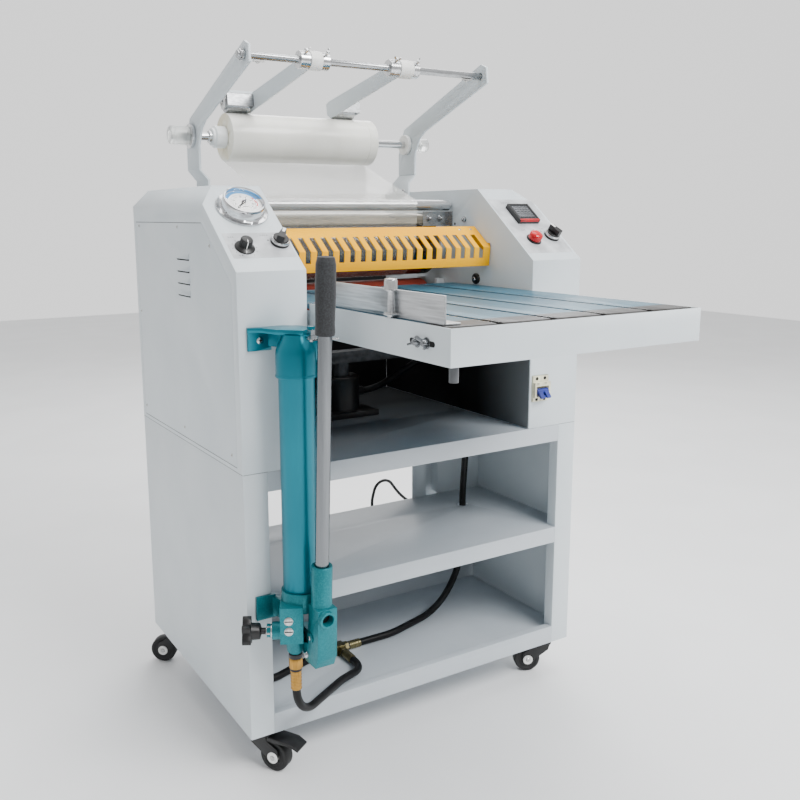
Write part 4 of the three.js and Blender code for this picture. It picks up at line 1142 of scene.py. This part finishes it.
several("top_rod_collars", collar_trim, "bright")
several("top_rod_stops", lambda bm: [
    (add_block(bm, x - 9, x + 9, 168.5, 175.5, 1117, 1119.6),
     add_head(bm, place_on("-z", x - 2, 172, 1117), 3.4, 2.6)) for x in (-209, 200)
], "zinc")
turned("top_rod_nut", [
    (0, -6.4), (3.6, -6.4), (3.6, -4.8), (6.8, -4.8), (6.8, -0.2), (9.6, -0.2), (9.6, 1.2), (0, 1.2),
], "x", (-238, ROD_Y, ROD_Z), "bright")

# ---- press arms: white sleeves, bright shrouds and screws ----
ARM_FROM, ARM_TO = Vector((ROD_Y, ROD_Z)), Vector((419, 1080))
arm_line = (ARM_TO - ARM_FROM)
arm_normal = Vector((-arm_line.y, arm_line.x)).normalized()


def on_arm(t, offset):
    point = ARM_FROM + arm_line * t + arm_normal * offset
    return (point.x, point.y)


SHROUD_TURN = [
    (-16.8 + 7 - 7 * math.cos(a), 13.8 - 7 + 7 * math.sin(a)) for a in (0.2 * k for k in range(8))
]
BEND = [(-16.8, -13.8), *SHROUD_TURN, (-9.8, 13.8)]
CHEEK = [*BEND, (10.8, 13.8), (15.2, 12), (16.8, 7.8), (16.8, -13.8)]


def on_shroud(points, grow=0.0):
    """Points in the shroud's own plane, along and across the arm, as Y and Z."""
    return [on_arm(0.965 + (u + grow) / arm_line.length, 5.6 + v - grow) for u, v in points]


for side, sleeve, low, high in (
    ("left", (-121.7, -100.5), -172.6, -121.3), ("right", (50.7, 77.1), 54.1, 105.2),
):
    body = f"{side}_press_arm"
    turned(f"{side}_arm_sleeve", [
        (6.4, sleeve[0]), (14.8, sleeve[0]), (15.3, sleeve[0] + 0.6), (15.3, sleeve[1] - 0.6),
        (14.8, sleeve[1]), (6.4, sleeve[1]), (6.4, sleeve[0]),
    ], "x", (0, ROD_Y, ROD_Z), "white", body)

    def shroud(bm):
        bend = [*BEND, (13, 13.8)]
        add_prism(bm, on_shroud(bend) + on_shroud(bend[::-1], 0.5), low + 0.5, high - 0.5, ALONG["x"])
        for x in (low, high - 0.5):
            add_prism(bm, on_shroud(CHEEK), x, x + 0.5, ALONG["x"])

    several(f"{side}_arm_shroud", shroud, "shroud", body)
    screws(f"{side}_arm_screws", [
        place_on("-x", low - 0.05, *on_arm(t, o)) for t, o in ((1.0, 0), (0.93, 9))
    ], 4.2, 2.2, "zinc", body)
    if side == "left":
        turned("left_arm_disc", [
            (4.4, 0), (13.4, 0), (13.4, 1.2), (12.8, 1.6), (9.4, 1.6), (9, 1), (6.8, 1), (6.4, 1.6),
            (4.4, 1.6), (4.4, 0),
        ], "-x", (low - 0.05, *on_arm(0.985, 3)), "bright", body)

# ---- film shaft, chucks, knobs and roll ----
SHAFT = (0, 417, 1021)
turned("unwind_shaft", plug_profile(7.5, -252, 263, 0.5, 0.6), "x", SHAFT, "chrome", "unwind",
       replaces=("film_shaft",))
turned("left_hand_knob", [
    (7.6, -276), (8, -277), (14.6, -277), (16.5, -275.2), (16.5, -272), (16, -271.4), (16, -270),
    (16.5, -269.4), (16.5, -250.6), (16, -250), (16, -248.6), (16.5, -248), (16.5, -244.6),
    (15.2, -243), (7.6, -243), (7.6, -276),
], "x", SHAFT, "frosted", "unwind")
turned("brake_ring", collar(7.6, 22, -241.4, -235.3, 0.6, 0.6), "x", SHAFT, "chrome", "unwind")
turned("left_chuck", [
    (7.6, -199), (15, -199), (16, -198.2), (16.2, -194.6), (19.2, -193.4), (20, -192.4),
    (20, -173.2), (19.4, -172.4), (7.6, -172.4), (7.6, -199),
], "x", SHAFT, "chuck", "unwind")
turned("left_chuck_clamp", [
    (7.6, -204.2), (10.8, -204.2), (11.5, -203.5), (11.5, -199.1), (7.6, -199.1), (7.6, -204.2),
], "x", SHAFT, "bright", "unwind")
screws("left_chuck_screws", [
    place_on("-x", -193.5, 417 + 14.2 * math.cos(a), 1021 + 14.2 * math.sin(a)) for a in (0.5, 2.6, 4.7)
], 2.2, 1.6, "zinc", "unwind")
turned("right_core_plug", collar(7.6, 12.1, 106, 139, 0.5, 0.6), "x", SHAFT, "chuck", "unwind")
turned("right_disc", collar(7.6, 20, 222, 229.5, 0.6, 0.6), "x", SHAFT, "white", "unwind")
turned("right_hand_knob", [
    (7.6, 252), (12.8, 252), (14, 253.4), (14, 277), (12.6, 279), (0, 279), (0, 263.5), (7.6, 263.5),
    (7.6, 252),
], "x", SHAFT, "frosted", "unwind")
turned("wound_film", [
    (15.2, -171.9), (43.1, -171.9), (43.5, -171.5), (43.5, 117.6), (43.9, 118), (43.9, 135.4),
    (43.4, 135.9), (15.2, 135.9), (15.2, -171.9),
], "x", SHAFT, "film", "unwind", sides=96, replaces=("film_roll",))
several("film_end_faces", lambda bm: [
    add_turned(bm, pipe(15.4, 42.8, x0, x1),
               place_on("x", *SHAFT), 96)
    for x0, x1 in ((-172.05, -171.7), (135.7, 136.05))
], "film_edge", "unwind")
turned("cardboard_core", pipe(12.5, 15.3, -172, 136), "x", SHAFT, "core", "unwind")

# ---- unwind arm bolts ----
for side, sign, _, axis in SIDES:
    screws(f"unwind_arm_bolts_{side}", [
        place_on(axis, sign * 214.2, y, z) for y in (402, 432) for z in (902, 928)
    ], 4.6, 3.2, "bright")

# ---- hand pump fittings ----
OUTLET = (-277, -55, 0)
OUTLET_AXIS = place_on("z", *OUTLET)
BLOCK = Matrix.Translation(OUTLET) @ spin(-28, "Z")
screws("block_plugs", [
    BLOCK @ place_on("-y", -8, -28, z) for z in (294, 278)
], 6.6, 1.6, "zinc", slotted=True)
several("valve_gland_nut", lambda bm: (
    add_prism(bm, circle(10.6, 6), -42.2, -37, BLOCK @ place_on("x", 0, 0, 267)),
    add_turned(bm, [(0, -43.4), (6, -43.4), (6, -36), (10.3, -36), (10.3, -33.8), (0, -33.8)],
               BLOCK @ place_on("x", 0, 0, 267), 40),
), "bright", bevel=0.4)
turned("outlet_collar", [
    (7.5, 223.8), (10.2, 223.8), (10.5, 224.4), (10.5, 230.2), (9.6, 231), (7.5, 231), (7.5, 223.8),
], "z", OUTLET, "black_plastic")
several("outlet_nut", lambda bm: (
    add_prism(bm, circle(11, 6, phase=0.2), 208, 222, OUTLET_AXIS),
    add_turned(bm, plug_profile(10.4, 206.6, 223.6, 0.6, 1),
               OUTLET_AXIS, 48),
), "brass", bevel=0.4)


turned("outlet_ring", plug_profile(9.2, 202.8, 206.6, 0.3, 0.6), "z",
       OUTLET, "black_plastic")


def ferrule(bm, place, radius, low, high, rings=5):
    """A crimped hose ferrule: a sleeve with shallow grooves."""
    profile = [(0, low), (radius * 0.92, low), (radius, low + 1)]
    pitch = (high - low - 4) / rings
    for k in range(rings):
        start = low + 2 + pitch * k
        profile += [(radius, start + pitch * 0.15), (radius * 0.955, start + pitch * 0.3),
                    (radius * 0.955, start + pitch * 0.7), (radius, start + pitch * 0.85)]
    profile += [(radius, high - 1), (radius * 0.92, high), (0, high)]
    add_turned(bm, profile, place, 48)


several("outlet_ferrule", lambda bm: ferrule(bm, OUTLET_AXIS, 8.7, 172, 203), "brass")

# ---- tee: nuts and ferrules on its three legs ----
LEGS = (("x", -98, 142, 102, 11, 46), ("-x", -98, 137, 102, 11, 28), ("-y", -95, 140, 102, 10, 47))
several("tee_nuts", lambda bm: [
    add_prism(bm, circle(9.2, 6), near, near + 9, place_on(axis, x, y, z))
    for axis, x, y, z, near, far in LEGS
], "olive", bevel=0.4)
several("tee_ferrules", lambda bm: [
    ferrule(bm, place_on(axis, x, y, z), 7.9, near + 11, far, 4) for axis, x, y, z, near, far in LEGS
], "olive")
several("tee_collars", lambda bm: [
    add_turned(bm, rod(7.6, near + 8.6, near + 11.4),
               place_on(axis, x, y, z), 40) for axis, x, y, z, near, far in LEGS
], "black_plastic")

# ---- pump top: filler, washers, clip plate and tab screw ----
FILLER = place_on("z", -244, -62, 0)
several("filler_bolt", lambda bm: (
    add_turned(bm, rod(9.6, 706, 707.6), FILLER, 40),
    add_turned(bm, rod(8, 707.6, 709), FILLER, 40),
    add_prism(bm, circle(7.8, 6), 711.6, 719, FILLER),
    add_turned(bm, [(0, 719), (4, 719), (4, 723.6), (3.4, 724.2), (0, 724.2)],
               FILLER, 28),
), "bright", bevel=0.3)
several("lever_clip", lambda bm: add_prism(bm, [
    (-256, -57), (-236, -53), (-232, -66), (-238, -92), (-224, -106), (-226, -110), (-240.4, -107),
    (-243.6, -104), (-264.4, -104), (-268, -112), (-271, -110), (-268, -94), (-258, -80),
], 709, 711.4, Matrix.Identity(4)), "bright", bevel=0.4)
screws("pump_tab_screws", [place_on("-y", x, -6, z) for x, z in ((-299, 701),)],
       5.4, 2.8, "bright")

turned("pump_cap_dome", [
    (0, 651.6), (30, 651.6), (30.6, 652.4), (30.6, 655), (30, 655.8), (29.9, 684), (28.9, 691),
    (26.4, 698), (22.4, 705), (19.6, 712.8), (0, 712.8),
], "z", (-263, -50, 0), "teal")

turned("table_post_sleeve", [(0, 679.2), (5.8, 679.2), (6.2, 680), (6.2, 702.6), (0, 702.6)], "z",
       (-190, -330, 0), "sleeve")

# ---- lever: steel tube, pivot pin and link pin ----
LEVER = Matrix.Translation((-254, -78, 236)) @ spin(3.4, "X")
LEVER_SPACE = HOME @ LEVER
turned("lever_tube", rod(10.2, 145.2, 583.8), "z", (0, -15.2, 0), "tube_steel", "lever",
       space=LEVER_SPACE)
turned("lever_socket_rim", [
    (10.4, 144.4), (14.9, 144.4), (15.5, 145), (14.7, 146.4), (11.6, 146.2), (10.4, 145), (10.4, 144.4),
], "z", (0, -15.2, 0), "teal_cast", "lever", sides=56, space=LEVER_SPACE)
PIVOT, LINK = (0, 0, 0), (0, -12, 33)
several("lever_pins", lambda bm: [
    add_turned(bm, profile, LEVER @ place_on(axis, *pin), sides) for axis in ("x", "-x")
    for profile, pin, sides in (
        ([(0, 14), (5.3, 14), (5.3, 19), (4.2, 20.6), (0, 20.8)], PIVOT, 32),
        ([(0, 14), (3.4, 14), (3.4, 18.6), (2.6, 19.2), (0, 19.2)], LINK, 28),
    )
], "bright", "lever")
turned("lever_cross_hole", [
    (8.8, -1.6), (9.2, -2.2), (12, -2.2), (12.6, -1.4), (12.6, 0.4), (8.8, 0.4), (8.8, -1.6),
], "y", (-3, -40, 71), "teal_cast", "lever", sides=56, space=LEVER_SPACE)
# Painted shade: a near black disc stands in for the shade at the bottom of the cross hole.
turned("lever_cross_hole_bottom", rod(8.6, 0, 0.4), "y", (-3, -30.2, 71), "painted_shade_gap", "lever", sides=40,
       space=LEVER_SPACE)
several("lever_eye", lambda bm: [
    add_turned(bm, [(3.6, 15.2), (7.8, 15.2), (8.1, 15.8), (8.1, 17), (7.4, 17.8), (3.6, 17.8),
                    (3.6, 15.2)], LEVER @ place_on(axis, *LINK), 40) for axis in ("x", "-x")
], "teal_cast", "lever")

bpy.context.view_layer.update()

# ---- lights and floor ----
floor_mesh = mesh_from("floor", lambda bm: add_block(bm, -6000, 6000, -5000, 7000, -20, -0.5), HOME)
floor = link_object("floor", floor_mesh)
floor_look = Look("floor_white", (244, 245, 246), 0.6)
floor_look.vary(floor_look.noise(3, 2), (241, 242, 243), 0.4, 0.6)
floor_mesh.materials.append(floor_look.material)


def area_light(name, where, target, size, power):
    data = bpy.data.lights.new(name, "AREA")
    data.shape = "RECTANGLE"
    data.size, data.size_y = size
    data.energy = power
    lamp = link_object(name, data)
    lamp.location = where
    lamp.rotation_euler = (Vector(target) - Vector(where)).to_track_quat("-Z", "Y").to_euler()


middle = (0, 0, 0.6)
for name, where, target, size, watts in (
    ("key", (0.9, -2.6, 3.0), (0, -0.1, 0.9), (2.0, 1.4), 170),
    ("top", (0.3, 0.2, 3.4), middle, (2.4, 2.0), 60),
    ("back", (1.8, 2.6, 2.2), middle, (2.0, 1.6), 45),
):
    area_light(name, where, target, size, watts)
# The room gets brighter from behind the camera to behind the machine.
BEHIND_MACHINE = (0.52, 0.85, 0)
DIM_SIDE, BRIGHT_SIDE = 0.45, 1.4
world = bpy.data.worlds.new("studio")
bpy.context.scene.world = world
world.use_nodes = True
world_nodes, world_links = world.node_tree.nodes, world.node_tree.links
background = world_nodes["Background"]
background.inputs["Color"].default_value = (1, 1, 1, 1)
towards_back = world_nodes.new("ShaderNodeVectorMath")
towards_back.operation = "DOT_PRODUCT"
towards_back.inputs[1].default_value = BEHIND_MACHINE
world_links.new(world_nodes.new("ShaderNodeTexCoord").outputs["Generated"], towards_back.inputs[0])
studio_wall = world_nodes.new("ShaderNodeMapRange")
studio_wall.inputs["From Min"].default_value = -1
studio_wall.inputs["To Min"].default_value = DIM_SIDE
studio_wall.inputs["To Max"].default_value = BRIGHT_SIDE
world_links.new(towards_back.outputs["Value"], studio_wall.inputs["Value"])
world_links.new(studio_wall.outputs["Result"], background.inputs["Strength"])
